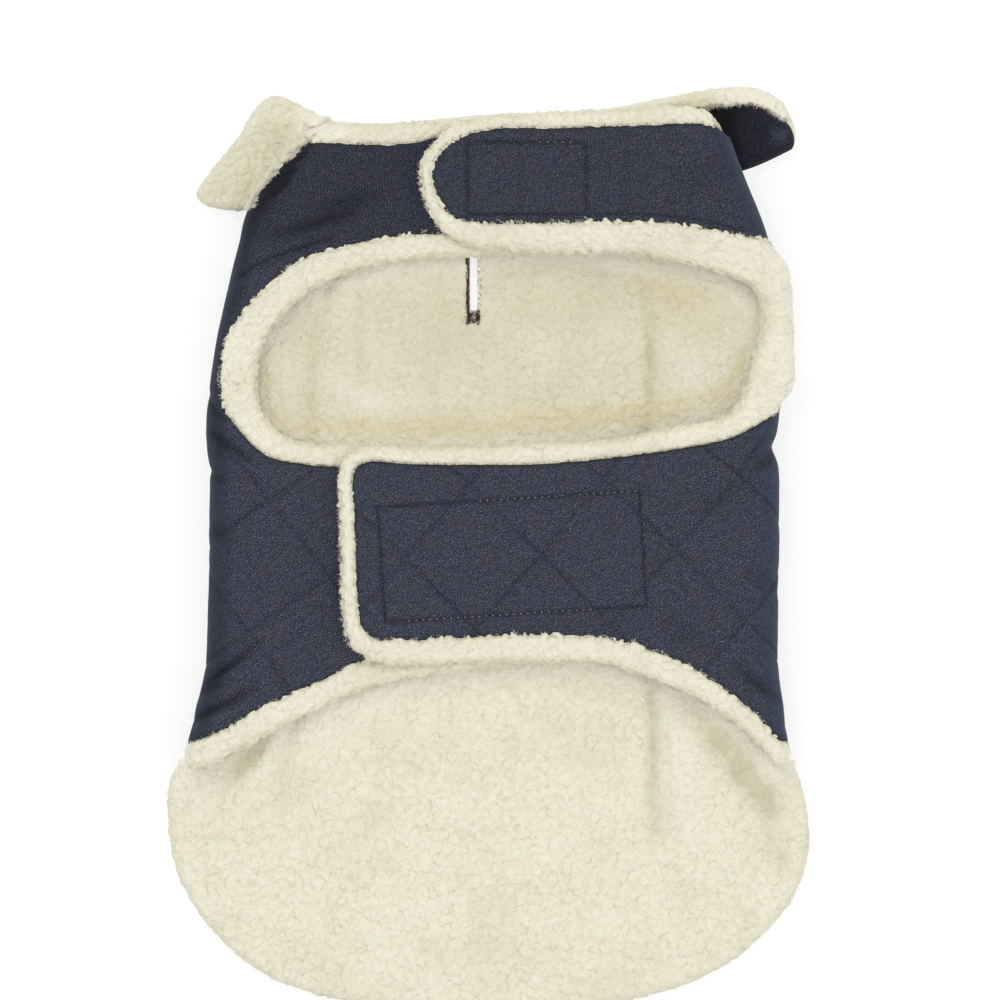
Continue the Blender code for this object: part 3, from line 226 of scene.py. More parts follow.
# Painted warm shade of the pile in the folds and under the edges: from x, y, to x, y, half width, strength
BACK_SHADE = (
    (-100.0, 57.0, -60.0, 58.0, 4.6, 0.9), (-60.0, 57.5, -4.0, 58.0, 5.0, 1.3),
    (-4.0, 59.5, 40.0, 61.0, 5.0, 1.1), (34.0, 62.0, 82.0, 66.0, 5.4, 1.2),
    (68.0, 60.0, 82.0, 65.0, 3.8, 1.2), (82.0, 66.0, 114.0, 75.0, 4.6, 0.9),
    (-107.0, 90.0, -106.0, 64.0, 3.6, 1.1), (-106.0, 66.0, -94.0, 58.0, 4.4, 1.0),
    (-102.0, 104.0, -92.0, 116.0, 4.0, 0.25), (125.0, 104.0, 116.0, 77.0, 2.8, 1.5),
    (120.0, 120.0, 125.0, 104.0, 3.0, 0.8), (116.0, 76.0, 108.0, 69.0, 3.2, 0.9),
    (70.0, 136.0, 112.0, 118.0, 9.0, 0.5), (84.0, 128.0, 100.0, 108.0, 10.0, 0.45),
    (-60.0, 118.0, 70.0, 128.0, 16.0, 0.1), (98.0, -76.0, 118.0, -100.0, 5.0, 0.2),
    (108.0, -90.0, 136.0, -122.0, 5.0, 0.12), (-107.0, -88.0, -112.0, -104.0, 1.6, 0.6),
    (-111.0, -90.0, -122.0, -108.0, 4.0, 0.5), (-150.0, -137.0, -116.0, -138.0, 1.4, 0.3),
    (-148.0, -131.0, -130.0, -133.0, 1.4, 0.25),
)
# Painted shade, plainer, without the warm tint
BACK_DIM = (
    (77.0, 112.0, 77.0, 62.0, 2.8, 0.4), (-84.0, 133.0, -85.0, 62.0, 3.0, 0.16),
    (-61.0, 130.0, -61.0, 79.0, 2.6, 0.2), (78.0, -58.0, 79.0, -138.0, 3.2, 0.55),
    (-40.0, -64.0, 30.0, -62.0, 5.0, 0.15), (30.0, -62.0, 90.0, -74.0, 5.0, 0.15),
    (98.0, -78.0, 118.0, -98.0, 5.0, 0.6), (110.0, -92.0, 132.0, -118.0, 6.5, 0.85),
    (120.0, -98.0, 134.0, -116.0, 4.0, 0.4), (-108.0, -90.0, -120.0, -108.0, 4.0, 1.0),
    (-118.0, -94.0, -128.0, -106.0, 4.0, 0.5), (-107.0, -86.0, -111.0, -102.0, 1.6, 1.1),
    (-86.0, -100.0, -88.0, -150.0, 5.0, 0.12), (132.0, -120.0, 140.0, -150.0, 6.0, 0.35),
    (-30.0, -190.0, 40.0, -196.0, 10.0, 0.08),
)
# Painted light: paler places of the back's pile
BACK_LIT = (
    (90.0, 98.0, 102.0, 72.0, 8.5, 0.5), (-80.0, 84.0, -52.0, 68.0, 8.0, 0.4),
    (-66.0, 72.0, -20.0, 70.0, 5.0, 0.3), (90.0, -84.0, 96.0, -130.0, 7.0, 0.4),
    (50.0, 137.0, 110.0, 127.0, 3.6, 0.5), (112.0, 127.0, 124.0, 112.0, 3.0, 0.5),
    (-104.0, 100.0, -84.0, 122.0, 3.4, 0.35), (-84.0, 122.0, -40.0, 134.0, 3.4, 0.3),
)
# Soft troughs of the back's pile: from x, y, to x, y, half width, depth
BACK_CREASES = (
    (98.0, -73.0, 139.0, -126.0, 6.0, 2.2), (-108.0, -88.0, -126.0, -114.0, 4.5, 2.2),
    (-61.0, 130.0, -61.0, 79.0, 3.0, 0.8), (-151.0, -137.0, -114.0, -138.0, 2.4, 0.8),
    (-148.0, -146.0, -122.0, -144.0, 2.4, 0.5), (60.0, 131.0, 100.0, 118.0, 5.0, 0.8),
    (-20.0, 66.0, 22.0, 70.0, 6.0, 0.6), (24.0, -168.0, 70.0, -158.0, 7.0, 0.6),
    (-70.0, -152.0, -34.0, -160.0, 7.0, 0.5),
)
# Painted warm shade of the collar's pile, as on the back
COLLAR_SHADE = (
    (90.0, 212.5, 100.0, 214.5, 4.0, 0.9), (103.0, 213.0, 108.0, 214.0, 2.5, 0.5),
    (-118.0, 172.0, -106.0, 176.0, 3.0, 0.4), (-124.0, 170.0, -112.0, 169.0, 3.0, 0.4),
    (-104.0, 203.0, -98.0, 198.0, 4.0, 0.35), (-112.0, 186.0, -104.0, 190.0, 3.0, 0.35),
    (-100.0, 212.0, -92.0, 208.0, 4.0, 0.3), (-60.0, 204.0, 60.0, 208.0, 3.0, 0.15),
    (-120.0, 180.0, -110.0, 182.0, 3.0, 0.3),
)
# Painted contact shadow where the left tip's pile lies against the left front
TIP_CONTACT = (
    (-85.0, 193.0, -93.0, 184.0, 4.2, 2.2), (-93.0, 184.0, -99.0, 174.0, 4.2, 2.4),
    (-84.0, 193.5, -76.0, 194.0, 2.0, 1.0), (-99.0, 174.0, -106.0, 166.0, 4.2, 2.4),
    (-106.0, 166.0, -114.0, 160.0, 3.2, 1.6),
)




def sizes():
    return bpy.context.scene.jacket_sizes


def size_mm(key):
    return getattr(sizes(), key) * 1000.0


def colours():
    return bpy.context.scene.jacket_colours


# ---- The form of the cloth, as the solids have it ----


def smoothstep(value):
    value = np.clip(value, 0.0, 1.0)
    return value * value * (3.0 - 2.0 * value)


def curve_through(points, step):
    """Evenly spaced points on a smooth open curve through the given ones, both ends kept."""
    points = np.asarray(points, float)
    dense = points
    if len(points) > 2:
        padded = np.vstack([2 * points[0] - points[1], points, 2 * points[-1] - points[-2]])
        t = np.linspace(0.0, 1.0, 12, endpoint=False)[:, None]
        runs = []
        for a, b, c, d in zip(padded, padded[1:], padded[2:], padded[3:]):
            cubic = 3 * b - 3 * c + d - a
            square = 2 * a - 5 * b + 4 * c - d
            runs.append(0.5 * (2 * b + (c - a) * t + square * t**2 + cubic * t**3))
        dense = np.vstack(runs + [points[-1:]])
    along = np.concatenate([[0.0], np.cumsum(np.linalg.norm(np.diff(dense, axis=0), axis=1))])
    stations = np.linspace(0.0, along[-1], max(1, round(along[-1] / step)) + 1)
    return np.column_stack([np.interp(stations, along, dense[:, k]) for k in (0, 1)])


def closed_outline(points, corners, step):
    """A closed outline, smooth between its corners."""
    count = len(points)
    starts = [i for i in range(count) if corners[i]]
    if not starts:
        ring = curve_through(list(points[-3:]) + list(points) + list(points[:3]), step / 4)
        first = np.argmin(np.linalg.norm(ring - points[0], axis=1))
        last = len(ring) - 1 - np.argmin(np.linalg.norm(ring[::-1] - points[0], axis=1))
        if last <= first:
            last = len(ring) - 1
        return curve_through(ring[first:last + 1], step)[:-1]
    runs = []
    for here, there in zip(starts, starts[1:] + [starts[0] + count]):
        runs.append(curve_through([points[i % count] for i in range(here, there + 1)], step)[:-1])
    return np.vstack(runs)


def marked_outline(rows):
    """An outline in plan from rows of x and y, with a third entry at a corner."""
    return closed_outline([row[:2] for row in rows], [len(row) > 2 for row in rows], 2.5)


FOLD_CURVES = {
    side: curve_through([(row[0], row[column]) for row in FOLD_LINES], 2.0)[::-1]
    for column, side in enumerate(SIDES, 1)
}
NECK_CURVE = curve_through(NECK_LINE, 3.0)


def fold_x(side, y):
    """How far out from the middle a side fold's outermost line is, always positive."""
    curve = FOLD_CURVES[side]
    return SIGN[side] * np.interp(y, curve[:, 0], curve[:, 1])


def neck_y(x):
    return np.interp(x, NECK_CURVE[:, 0], NECK_CURVE[:, 1])


def floor_lift(y):
    return COLLAR_LIFT * smoothstep((y - LIFT_START) / LIFT_LENGTH)


def side_lift(side, depth, y):
    inner = smoothstep((depth - FOLD_RADIUS) / (CREASE_DEPTH[side] - FOLD_RADIUS))
    return SIDE_LIFT * (1.0 - inner) * smoothstep((y - TAIL_FLAT) / (TAIL_RAISED - TAIL_FLAT))


def pad_outside(name, x, y):
    """Distance outside a pad's rectangle, negative within it."""
    centre_x, centre_y, length, width, turn = PADS[name]
    c, s = math.cos(math.radians(turn)), math.sin(math.radians(turn))
    u = (x - centre_x) * c + (y - centre_y) * s
    v = (y - centre_y) * c - (x - centre_x) * s
    return np.maximum(np.abs(u) - length / 2, np.abs(v) - width / 2)


def pad_rise(x, y):
    rise = np.zeros_like(x)
    for name in PADS:
        outside = pad_outside(name, x, y) - PAD_CLEAR
        rise = np.maximum(rise, PAD_RISE * (1.0 - smoothstep(outside / PAD_RAMP)))
    return rise


def top_height(side, x, y, depth):
    settled = smoothstep((depth - FOLD_RADIUS) / SETTLE)
    rest = RIGHT_REST + pad_rise(x, y) if side == "right" else LEFT_REST
    return floor_lift(y) + FOLD_TOP + (rest - FOLD_TOP) * settled


def place_front(side, points, inward):
    """Points of a front's cloth in space: over the top, round the fold and underneath."""
    s, y = points[:, 0], points[:, 1]
    angle = np.clip(s / FOLD_RADIUS, -math.pi / 2, math.pi / 2)
    radius = FOLD_RADIUS - inward
    flat = np.maximum(np.abs(s) - QUARTER, 0.0)
    depth = FOLD_RADIUS + flat
    x = SIGN[side] * (fold_x(side, y) - FOLD_RADIUS - flat + radius * np.cos(angle))
    fold_z = floor_lift(y) + SIDE_LIFT + FOLD_RADIUS + radius * np.sin(angle)
    over_z = top_height(side, x, y, depth) - inward
    under_z = floor_lift(y) + side_lift(side, depth, y) + inward
    z = np.where(s > QUARTER, over_z, np.where(s < -QUARTER, under_z, fold_z))
    return np.column_stack([x, y, z])


def place_back(points, inward):
    """Points of the back in space, the denim's outer face down."""
    x, y = points[:, 0], points[:, 1]
    z = floor_lift(y) + inward
    for side in SIDES:
        z = z + side_lift(side, fold_x(side, y) - SIGN[side] * x, y)
    return np.column_stack([x, y, z])


def along_cloth(side, across, y, under=False):
    """The length `s` of a place on a front, given by its X or, underneath, by its depth from the fold."""
    depth = across if under else fold_x(side, y) - SIGN[side] * across
    if depth >= FOLD_RADIUS:
        s = QUARTER + depth - FOLD_RADIUS
    else:
        s = FOLD_RADIUS * math.acos(1.0 - max(depth, 0.0) / FOLD_RADIUS)
    return -s if under else s


def on_front(side, places):
    """Places given in plan, on a front's cloth."""
    return [(along_cloth(side, x, y), y) for x, y in places]


def plan_depth(s):
    """How far in from the fold's outermost line a length on the cloth is, seen from above."""
    round_fold = FOLD_RADIUS * (1 - np.cos(np.clip(s / FOLD_RADIUS, 0, math.pi / 2)))
    return np.where(s > QUARTER, s - QUARTER + FOLD_RADIUS, round_fold)


def plan(side, points):
    """Places on a front's cloth, seen from above."""
    x = SIGN[side] * (fold_x(side, points[:, 1]) - plan_depth(points[:, 0]))
    return np.column_stack([x, points[:, 1]])


def front_outline(side, rows, step=3.0):
    """A front's outline on its cloth, from the seam's top round the straps to the seam's end."""
    points = [(SEAM_S, SEAM_TOP), *((along_cloth(side, *row), row[1]) for row in rows), (SEAM_S, SEAM_END)]
    return closed_outline(points, [True] + [False] * len(rows) + [True], step)


def quilt_frame(side, points):
    """Places on a front counted in diamonds."""
    crossing, first, second = (np.array(v) for v in QUILT[side])
    unfolded = SIGN[side] * (fold_x(side, crossing[1]) - FOLD_RADIUS + QUARTER - points[:, 0])
    flat = np.column_stack([unfolded, points[:, 1]]) - crossing
    return np.linalg.solve(np.column_stack([first, second]), flat.T).T


def leg_bulge(points, outside):
    """How far the lining stands out past the right side fold along the leg opening."""
    s, y = points[:, 0], points[:, 1]
    along = smoothstep((y - BULGE_LOW) / BULGE_FADE) * smoothstep((BULGE_HIGH - y) / BULGE_FADE)
    return BULGE * along * smoothstep((QUARTER + 2.0 - s) / 12.0) * smoothstep((outside - 0.9) / 4.0)


# ---- Distances, noise and relief ----


def nearest(loop, points, reach=26.0):
    """Distance inside a closed outline (negative outside), capped at `reach`, and the nearest place on it."""
    x, y = points[:, 0], points[:, 1]
    best = np.full(len(points), reach)
    spot = np.array(points)
    odd = np.zeros(len(points), bool)
    for a, b in zip(loop, np.roll(loop, -1, axis=0)):
        if a[1] != b[1]:
            hit = (a[1] > y) != (b[1] > y)
            odd[hit] ^= x[hit] < (b[0] - a[0]) * (y[hit] - a[1]) / (b[1] - a[1]) + a[0]
        low, high = np.minimum(a, b) - reach, np.maximum(a, b) + reach
        ids = np.flatnonzero((x > low[0]) & (x < high[0]) & (y > low[1]) & (y < high[1]))
        run = b - a
        near = points[ids]
        t = np.clip(((near - a) @ run) / max(run @ run, 1e-12), 0.0, 1.0)
        on = a + t[:, None] * run
        away = np.hypot(*(near - on).T)
        closer = away < best[ids]
        best[ids[closer]] = away[closer]
        spot[ids[closer]] = on[closer]
    return np.where(odd, best, -best), spot


def clearance(loop, points, reach=26.0):
    return nearest(loop, points, reach)[0]


def strokes(points, rows):
    """Sum of soft lines, each given as from x, y, to x, y, half width and strength."""
    total = np.zeros(len(points))
    for x0, y0, x1, y1, width, strength in rows:
        a, run = np.array((x0, y0)), np.array((x1 - x0, y1 - y0))
        t = np.clip(((points - a) @ run) / (run @ run), 0.0, 1.0)
        away = np.hypot(*(points - a - t[:, None] * run).T)
        fade = 0.55 + 0.45 * np.sin(math.pi * t)
        total += strength * fade * np.exp(-((away / width) ** 2))
    return total


def soft_noise(points, size, seed):
    """Smooth noise from -1 to 1 with lumps of about the given size."""
    table = np.random.default_rng(seed).uniform(-1.0, 1.0, (TABLE, TABLE))
    place = points / size
    cell = np.floor(place).astype(int)
    t = smoothstep(place - cell)
    i, j = cell[:, 0] % TABLE, cell[:, 1] % TABLE
    k, m = (i + 1) % TABLE, (j + 1) % TABLE
    low = table[i, j] * (1 - t[:, 0]) + table[k, j] * t[:, 0]
    high = table[i, m] * (1 - t[:, 0]) + table[k, m] * t[:, 0]
    return low * (1 - t[:, 1]) + high * t[:, 1]


def curls(points, size, seed):
    """Relief of the pile's curls, 0 in the gaps and up to 1 on top, uneven in outline and height."""
    rng = np.random.default_rng(seed)
    spots, heights = rng.random((TABLE, TABLE, 2)), rng.random((TABLE, TABLE))
    warp = np.column_stack([soft_noise(points, 0.8 * size, seed + more) for more in (1, 2)])
    place = points / size + 0.42 * warp
    cell = np.floor(place).astype(int)
    first, second, height = np.full(len(points), 9.0), np.full(len(points), 9.0), np.zeros(len(points))
    for dx in (-1, 0, 1):
        for dy in (-1, 0, 1):
            near = cell + (dx, dy)
            i, j = near[:, 0] % TABLE, near[:, 1] % TABLE
            away = np.hypot(*(near + spots[i, j] - place).T)
            closer = away < first
            second = np.where(closer, first, np.minimum(second, away))
            height = np.where(closer, heights[i, j], height)
            first = np.where(closer, away, first)
    gap = smoothstep((second - first) / 0.42)
    return gap * (0.5 + 0.5 * height) * np.clip(1.0 - 0.8 * first**2, 0.0, 1.0)


def pile_relief(points, seed):
    """Height of the pile over its mean and how deep in a gap each place is, which is painted as shade between
    the curls.
    """
    size = size_mm("curl")
    relief = 0.6 * curls(points, size, seed) + 0.4 * curls(points, 0.48 * size, seed + 5)
    height = size_mm("curl_height") * (relief - 0.42) + 0.3 * soft_noise(points, 2.6 * size, seed + 9)
    uneven = np.clip(0.9 + 0.7 * soft_noise(points, 1.7 * size, seed + 11), 0.1, 1.4)
    return height, (1.0 - smoothstep(relief / 0.38)) * uneven


# ---- Meshes ----


def flat_places(verts):
    return np.array([v.co[:2] for v in verts])


def cut_cloth(room, around, margin, step):
    """A flat grid cut to where `room` is positive, with its edge drawn onto the line where that is zero.

    The grid reaches a margin past an outline. The places of its points come with it.
    """
    low, high = around.min(axis=0) - margin, around.max(axis=0) + margin
    cells = np.ceil((high - low) / step).astype(int)
    place = Matrix.Translation((*(low + high) / 2, 0.0)) @ Matrix.Diagonal((*(cells * step), 1.0, 1.0))
    bm = bmesh.new()
    bmesh.ops.create_grid(bm, x_segments=int(cells[0]), y_segments=int(cells[1]), size=0.5, matrix=place)
    outside = room(flat_places(bm.verts)) < -0.5 * step
    bmesh.ops.delete(bm, geom=[v for v, out in zip(bm.verts, outside) if out], context="VERTS")
    bmesh.ops.delete(bm, geom=[v for v in bm.verts if not v.link_faces], context="VERTS")
    rim = [v for v in bm.verts if v.is_boundary]
    spots = flat_places(rim)
    reach = 0.25
    for _ in range(2):
        here = room(spots)
        ahead = [room(spots + offset) - here for offset in ((reach, 0.0), (0.0, reach))]
        slope = np.column_stack(ahead) / reach
        move = here[:, None] * slope / np.maximum((slope**2).sum(1), 0.3)[:, None]
        spots = spots - np.clip(move, -1.2 * step, 1.2 * step)
    for v, spot in zip(rim, spots):
        v.co = (*spot, 0.0)
    return bm, flat_places(bm.verts)


def thicken(bm, thickness=1.0):
    """Makes a cut cloth a closed wall. Returns the flat places of its points and their heights in it."""
    bmesh.ops.solidify(bm, geom=list(bm.faces), thickness=thickness)
    bmesh.ops.recalc_face_normals(bm, faces=bm.faces)
    spots = np.array([v.co[:] for v in bm.verts])
    return spots[:, :2], spots[:, 2] - spots[:, 2].min()


def make_piece(name, bm, flat, placed, slot, facts, flip=False, shown_by=()):
    """An object of a cut cloth, with its flat places as UV map and facts of its points as attributes."""
    if flip:
        bmesh.ops.reverse_faces(bm, faces=bm.faces)
    mesh = bpy.data.meshes.new(name)
    bm.to_mesh(mesh)
    bm.free()
    mesh.vertices.foreach_set("co", (placed * MM).ravel())
    corner = np.empty(len(mesh.loops), int)
    mesh.loops.foreach_get("vertex_index", corner)
    along = flat * ((-1.0, 1.0) if flip else (1.0, 1.0))
    mesh.uv_layers.new(name="cloth").data.foreach_set("uv", (along[corner] * MM).ravel())
    for key, values in facts.items():
        values = np.broadcast_to(np.asarray(values, float), len(flat))
        mesh.attributes.new(key, "FLOAT", "POINT").data.foreach_set("value", np.ascontiguousarray(values))
    mesh.shade_smooth()
    mesh.update()
    return add_object(name, mesh, material_of(*CLOTHS[slot]), shown_by)


def add_object(name, mesh, material, shown_by=()):
    mesh.materials.append(material)
    obj = bpy.data.objects.new(name, mesh)
    bpy.context.scene.collection.objects.link(obj)
    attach(obj, "root")
    if shown_by:
        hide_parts(*shown_by)
    return obj


def joined(name, template, origins, axes, material, bends=0.0):
    """One mesh of many copies of a small template, each with its own place, scaled axes and bend."""
    small = bpy.data.meshes.new(name + "_one")
    template.to_mesh(small)
    template.free()
    verts = np.empty(len(small.vertices) * 3)
    small.vertices.foreach_get("co", verts)
    verts = verts.reshape(-1, 3)
    corner, start = np.empty(len(small.loops), int), np.empty(len(small.polygons), int)
    small.loops.foreach_get("vertex_index", corner)
    small.polygons.foreach_get("loop_start", start)
    bpy.data.meshes.remove(small)
    copies = len(origins)
    bends = np.broadcast_to(bends, (copies, 3))
    places = origins[:, None] + np.einsum("nij,kj->nki", axes, verts)
    places += bends[:, None] * (verts[:, 2] * (1.0 - verts[:, 2]))[None, :, None]
    ids = np.arange(copies)[:, None]
    mesh = bpy.data.meshes.new(name)
    mesh.vertices.add(copies * len(verts))
    mesh.loops.add(copies * len(corner))
    mesh.polygons.add(copies * len(start))
    mesh.vertices.foreach_set("co", (places * MM).ravel())
    mesh.loops.foreach_set("vertex_index", (corner + ids * len(verts)).ravel())
    mesh.polygons.foreach_set("loop_start", (start + ids * len(corner)).ravel())
    mesh.update(calc_edges=True)
    mesh.shade_smooth()
    mesh.validate()
    return add_object(name, mesh, material)


def fibre_template():
    """A tapered fibre one unit long and one unit in radius at its root."""
    bm = bmesh.new()
    bmesh.ops.create_cone(
        bm, segments=3, radius1=1.0, radius2=0.25, depth=1.0, cap_ends=True, cap_tris=True,
        matrix=Matrix.Translation((0.0, 0.0, 0.5)),
    )
    for height in (0.35, 0.7):
        geometry = list(bm.verts) + list(bm.edges) + list(bm.faces)
        bmesh.ops.bisect_plane(bm, geom=geometry, plane_co=(0.0, 0.0, height), plane_no=(0.0, 0.0, 1.0))
    return bm


def stitch_template():
    """A rounded stitch one unit long, its middle at the origin."""
    bm = bmesh.new()
    bmesh.ops.create_uvsphere(bm, u_segments=7, v_segments=5, radius=0.5)
    return bm


def frames_along(directions, ups, radius):
    """Axes whose third one is the direction and whose first two are a radius across."""
    side = np.cross(ups, directions)
    side /= np.maximum(np.linalg.norm(side, axis=1), 1e-9)[:, None]
    over = np.cross(directions, side)
    over /= np.maximum(np.linalg.norm(over, axis=1), 1e-9)[:, None]
    return np.stack([side * radius[:, None], over * radius[:, None], directions], axis=2)


def declare(loop):
    """Works out the width, length and area of a piece of cloth's flat cut, and leaves them unused."""
    width, length = (loop.max(axis=0) - loop.min(axis=0)) * MM
    ahead = np.roll(loop, -1, axis=0)
    area = abs((loop[:, 0] * ahead[:, 1] - ahead[:, 0] * loop[:, 1]).sum()) / 2 * MM * MM


# ---- Shader helpers ----


class Wire:
    """A shader socket that can be used in sums."""

    def __init__(self, shader, socket):
        self.shader = shader
        self.socket = socket

    def __add__(self, other):
        return self.shader.math("ADD", self, other)

    __radd__ = __add__

    def __sub__(self, other):
        return self.shader.math("SUBTRACT", self, other)

    def __rsub__(self, other):
        return self.shader.math("SUBTRACT", other, self)

    def __mul__(self, other):
        return self.shader.math("MULTIPLY", self, other)


class Shader:
    """A material and the few kinds of node that it is made of."""

    def __init__(self, name):
        self.material = bpy.data.materials.new(name)
        self.material.use_nodes = True
        self.tree = self.material.node_tree
        self.principled = self.tree.nodes["Principled BSDF"]

    def node(self, kind, settings=None, sockets=None, out=0):
        node = self.tree.nodes.new(kind)
        for key, value in (settings or {}).items():
            setattr(node, key, value)
        for key, value in (sockets or {}).items():
            self.plug(node.inputs[key], value)
        return Wire(self, node.outputs[out])

    def plug(self, socket, value):
        if isinstance(value, Wire):
            self.tree.links.new(value.socket, socket)
        else:
            socket.default_value = value

    def math(self, operation, *values):
        return self.node("ShaderNodeMath", {"operation": operation}, dict(enumerate(values)))

    def clamped(self, value):
        return self.node("ShaderNodeClamp", None, {"Value": value})

    def ramp(self, value, low, high):
        """0 below one value and 1 above another, smooth between them."""
        settings = {"interpolation_type": "SMOOTHSTEP"}
        return self.node("ShaderNodeMapRange", settings, {"Value": value, "From Min": low, "From Max": high})

    def mix(self, factor, first, second, blend="MIX"):
        settings = {"data_type": "RGBA", "blend_type": blend}
        colours = [value if isinstance(value, Wire) else (*value, 1.0) for value in (first, second)]
        return self.node("ShaderNodeMix", settings, {"Factor": factor, 6: colours[0], 7: colours[1]}, 2)

    def tint(self, factor, colour, other):
        """A colour multiplied by another."""
        return self.mix(factor, colour, other, "MULTIPLY")

    def fact(self, name):
        """A number that the mesh's points carry."""
        return self.node("ShaderNodeAttribute", {"attribute_name": name}, None, 2)

    def noise(self, place, size, detail=2.0, roughness=0.5):
        """Noise from 0 to 1 whose lumps have a size in metres."""
        sockets = {"Vector": place, "Scale": 1.0 / size, "Detail": detail, "Roughness": roughness}
        return self.node("ShaderNodeTexNoise", None, sockets)

    def cells(self, place, size):
        """Distance to the edges between uneven cells of a size in metres, counted in cells."""
        flat = {"noise_dimensions": "2D"}
        sockets = {"Vector": place, "Scale": 0.8 / size, "Detail": 1.0}
        wander = self.node("ShaderNodeTexNoise", flat, sockets, 1)
        sockets = {0: wander, 1: (0.9 * size,) * 3, 2: place}
        moved = self.node("ShaderNodeVectorMath", {"operation": "MULTIPLY_ADD"}, sockets)
        settings = {"voronoi_dimensions": "2D", "feature": "DISTANCE_TO_EDGE"}
        return self.node("ShaderNodeTexVoronoi", settings, {"Vector": moved, "Scale": 1.0 / size})

    def twill(self, place, scale=(1.0, 1.0, 1.0)):
        """A place counted along and across the twill's ribs."""
        sockets = {"Vector": place, "Rotation": (0.0, 0.0, TWILL_TURN), "Scale": scale}
        return self.node("ShaderNodeMapping", {"vector_type": "TEXTURE"}, sockets)

    def object_place(self):
        return self.node("ShaderNodeTexCoord", None, None, 3)

    def spread_place(self, place):
        """A place counted in two directions that both change on upright faces too."""
        x, y, z = (self.node("ShaderNodeSeparateXYZ", None, {0: place}, axis) for axis in range(3))
        return self.node("ShaderNodeCombineXYZ", None, {0: x + z * 0.8, 1: y + z * 0.6})

    def cloth_place(self):
        return self.node("ShaderNodeUVMap", {"uv_map": "cloth"})

    def bump(self, height, depth, strength=1.0, normal=None):
        sockets = {"Height": height, "Distance": depth, "Strength": strength}
        if normal:
            sockets["Normal"] = normal
        return self.node("ShaderNodeBump", None, sockets)

    def finish(self, colour, roughness, normal=None, specular=0.2, constants=None):
        self.plug(self.principled.inputs["Base Color"], colour)
        self.principled.inputs["Roughness"].default_value = roughness
        self.principled.inputs["Specular IOR Level"].default_value = specular
        if normal:
            self.plug(self.principled.inputs["Normal"], normal)
        for key, value in (constants or {}).items():
            self.principled.inputs[key].default_value = value
        return self.material


def material_of(name, maker):
    """A material by name, made on its first use."""
    return bpy.data.materials.get(name) or maker(name)


def make_pile(name):
    shader = Shader(name)
    place = shader.object_place()
    gap_shade, shade, warm, lit = (shader.fact(key) for key in ("gap_shade", "shade", "warm_shade", "lit"))
    patches = shader.noise(place, 0.016, 2.0)
    tufts = shader.noise(place, 0.0027, 2.0, 0.6)
    wool = shader.noise(place, 0.0011, 3.0, 0.65)
    crimp = shader.noise(place, 0.00042, 2.0, 0.6)
    spread = shader.spread_place(place)
    cell, small_cell = (shader.cells(spread, share * sizes().curl) for share in (0.8, 0.5))
    broken = shader.ramp(shader.noise(place, 0.0075, 2.0), 0.42, 0.62)
    # Painted shade along the cracks between the curls
    crack_shade = (1.0 - shader.ramp(cell, 0.0, 0.09)) * broken
    crack_shade = crack_shade + (1.0 - shader.ramp(small_cell, 0.0, 0.075)) * (1.0 - broken) * 0.6
    mottled = shader.ramp(tufts, 0.36, 0.62)
    crack_shade = crack_shade * (0.3 + shader.ramp(tufts, 0.6, 0.42))
    dim = shader.clamped(shade + (patches - 0.5) * 0.5)
    colour = shader.mix(dim, colours().pile, colours().pile_shade)
    # Painted warm shade in the folds and under the edges, mottled
    colour = shader.mix(shader.clamped(warm * (0.45 + mottled * 0.9)), colour, colours().pile_warm_shade)
    # Painted shade in the gaps and cracks between the curls
    colour = shader.mix(shader.clamped(gap_shade * 0.22), colour, colours().pile_gap_shade)
    colour = shader.mix(shader.clamped(crack_shade * 0.56), colour, colours().pile_gap_shade)
    colour = shader.tint(shader.ramp(wool, 0.62, 0.28) * 0.16, colour, (0.72, 0.68, 0.56))
    colour = shader.mix(lit * 0.5, colour, (0.93, 0.91, 0.83))
    relief = shader.bump(shader.ramp(cell, 0.0, 0.26), 0.0005, 0.5)
    relief = shader.bump(tufts, 0.0014, 0.45, relief)
    relief = shader.bump(wool, 0.00075, 0.55, relief)
    relief = shader.bump(crimp, 0.0003, 0.5, relief)
    sheen = {"Sheen Weight": 0.25, "Sheen Roughness": 0.6, "Sheen Tint": (1.0, 0.98, 0.93, 1.0)}
    return shader.finish(colour, 0.96, relief, constants=sheen)


def make_fibre(name):
    shader = Shader(name)
    tone = shader.noise(shader.object_place(), 0.006, 1.0)
    return shader.finish(shader.mix(tone, (0.74, 0.71, 0.6), (0.9, 0.88, 0.8)), 0.9)


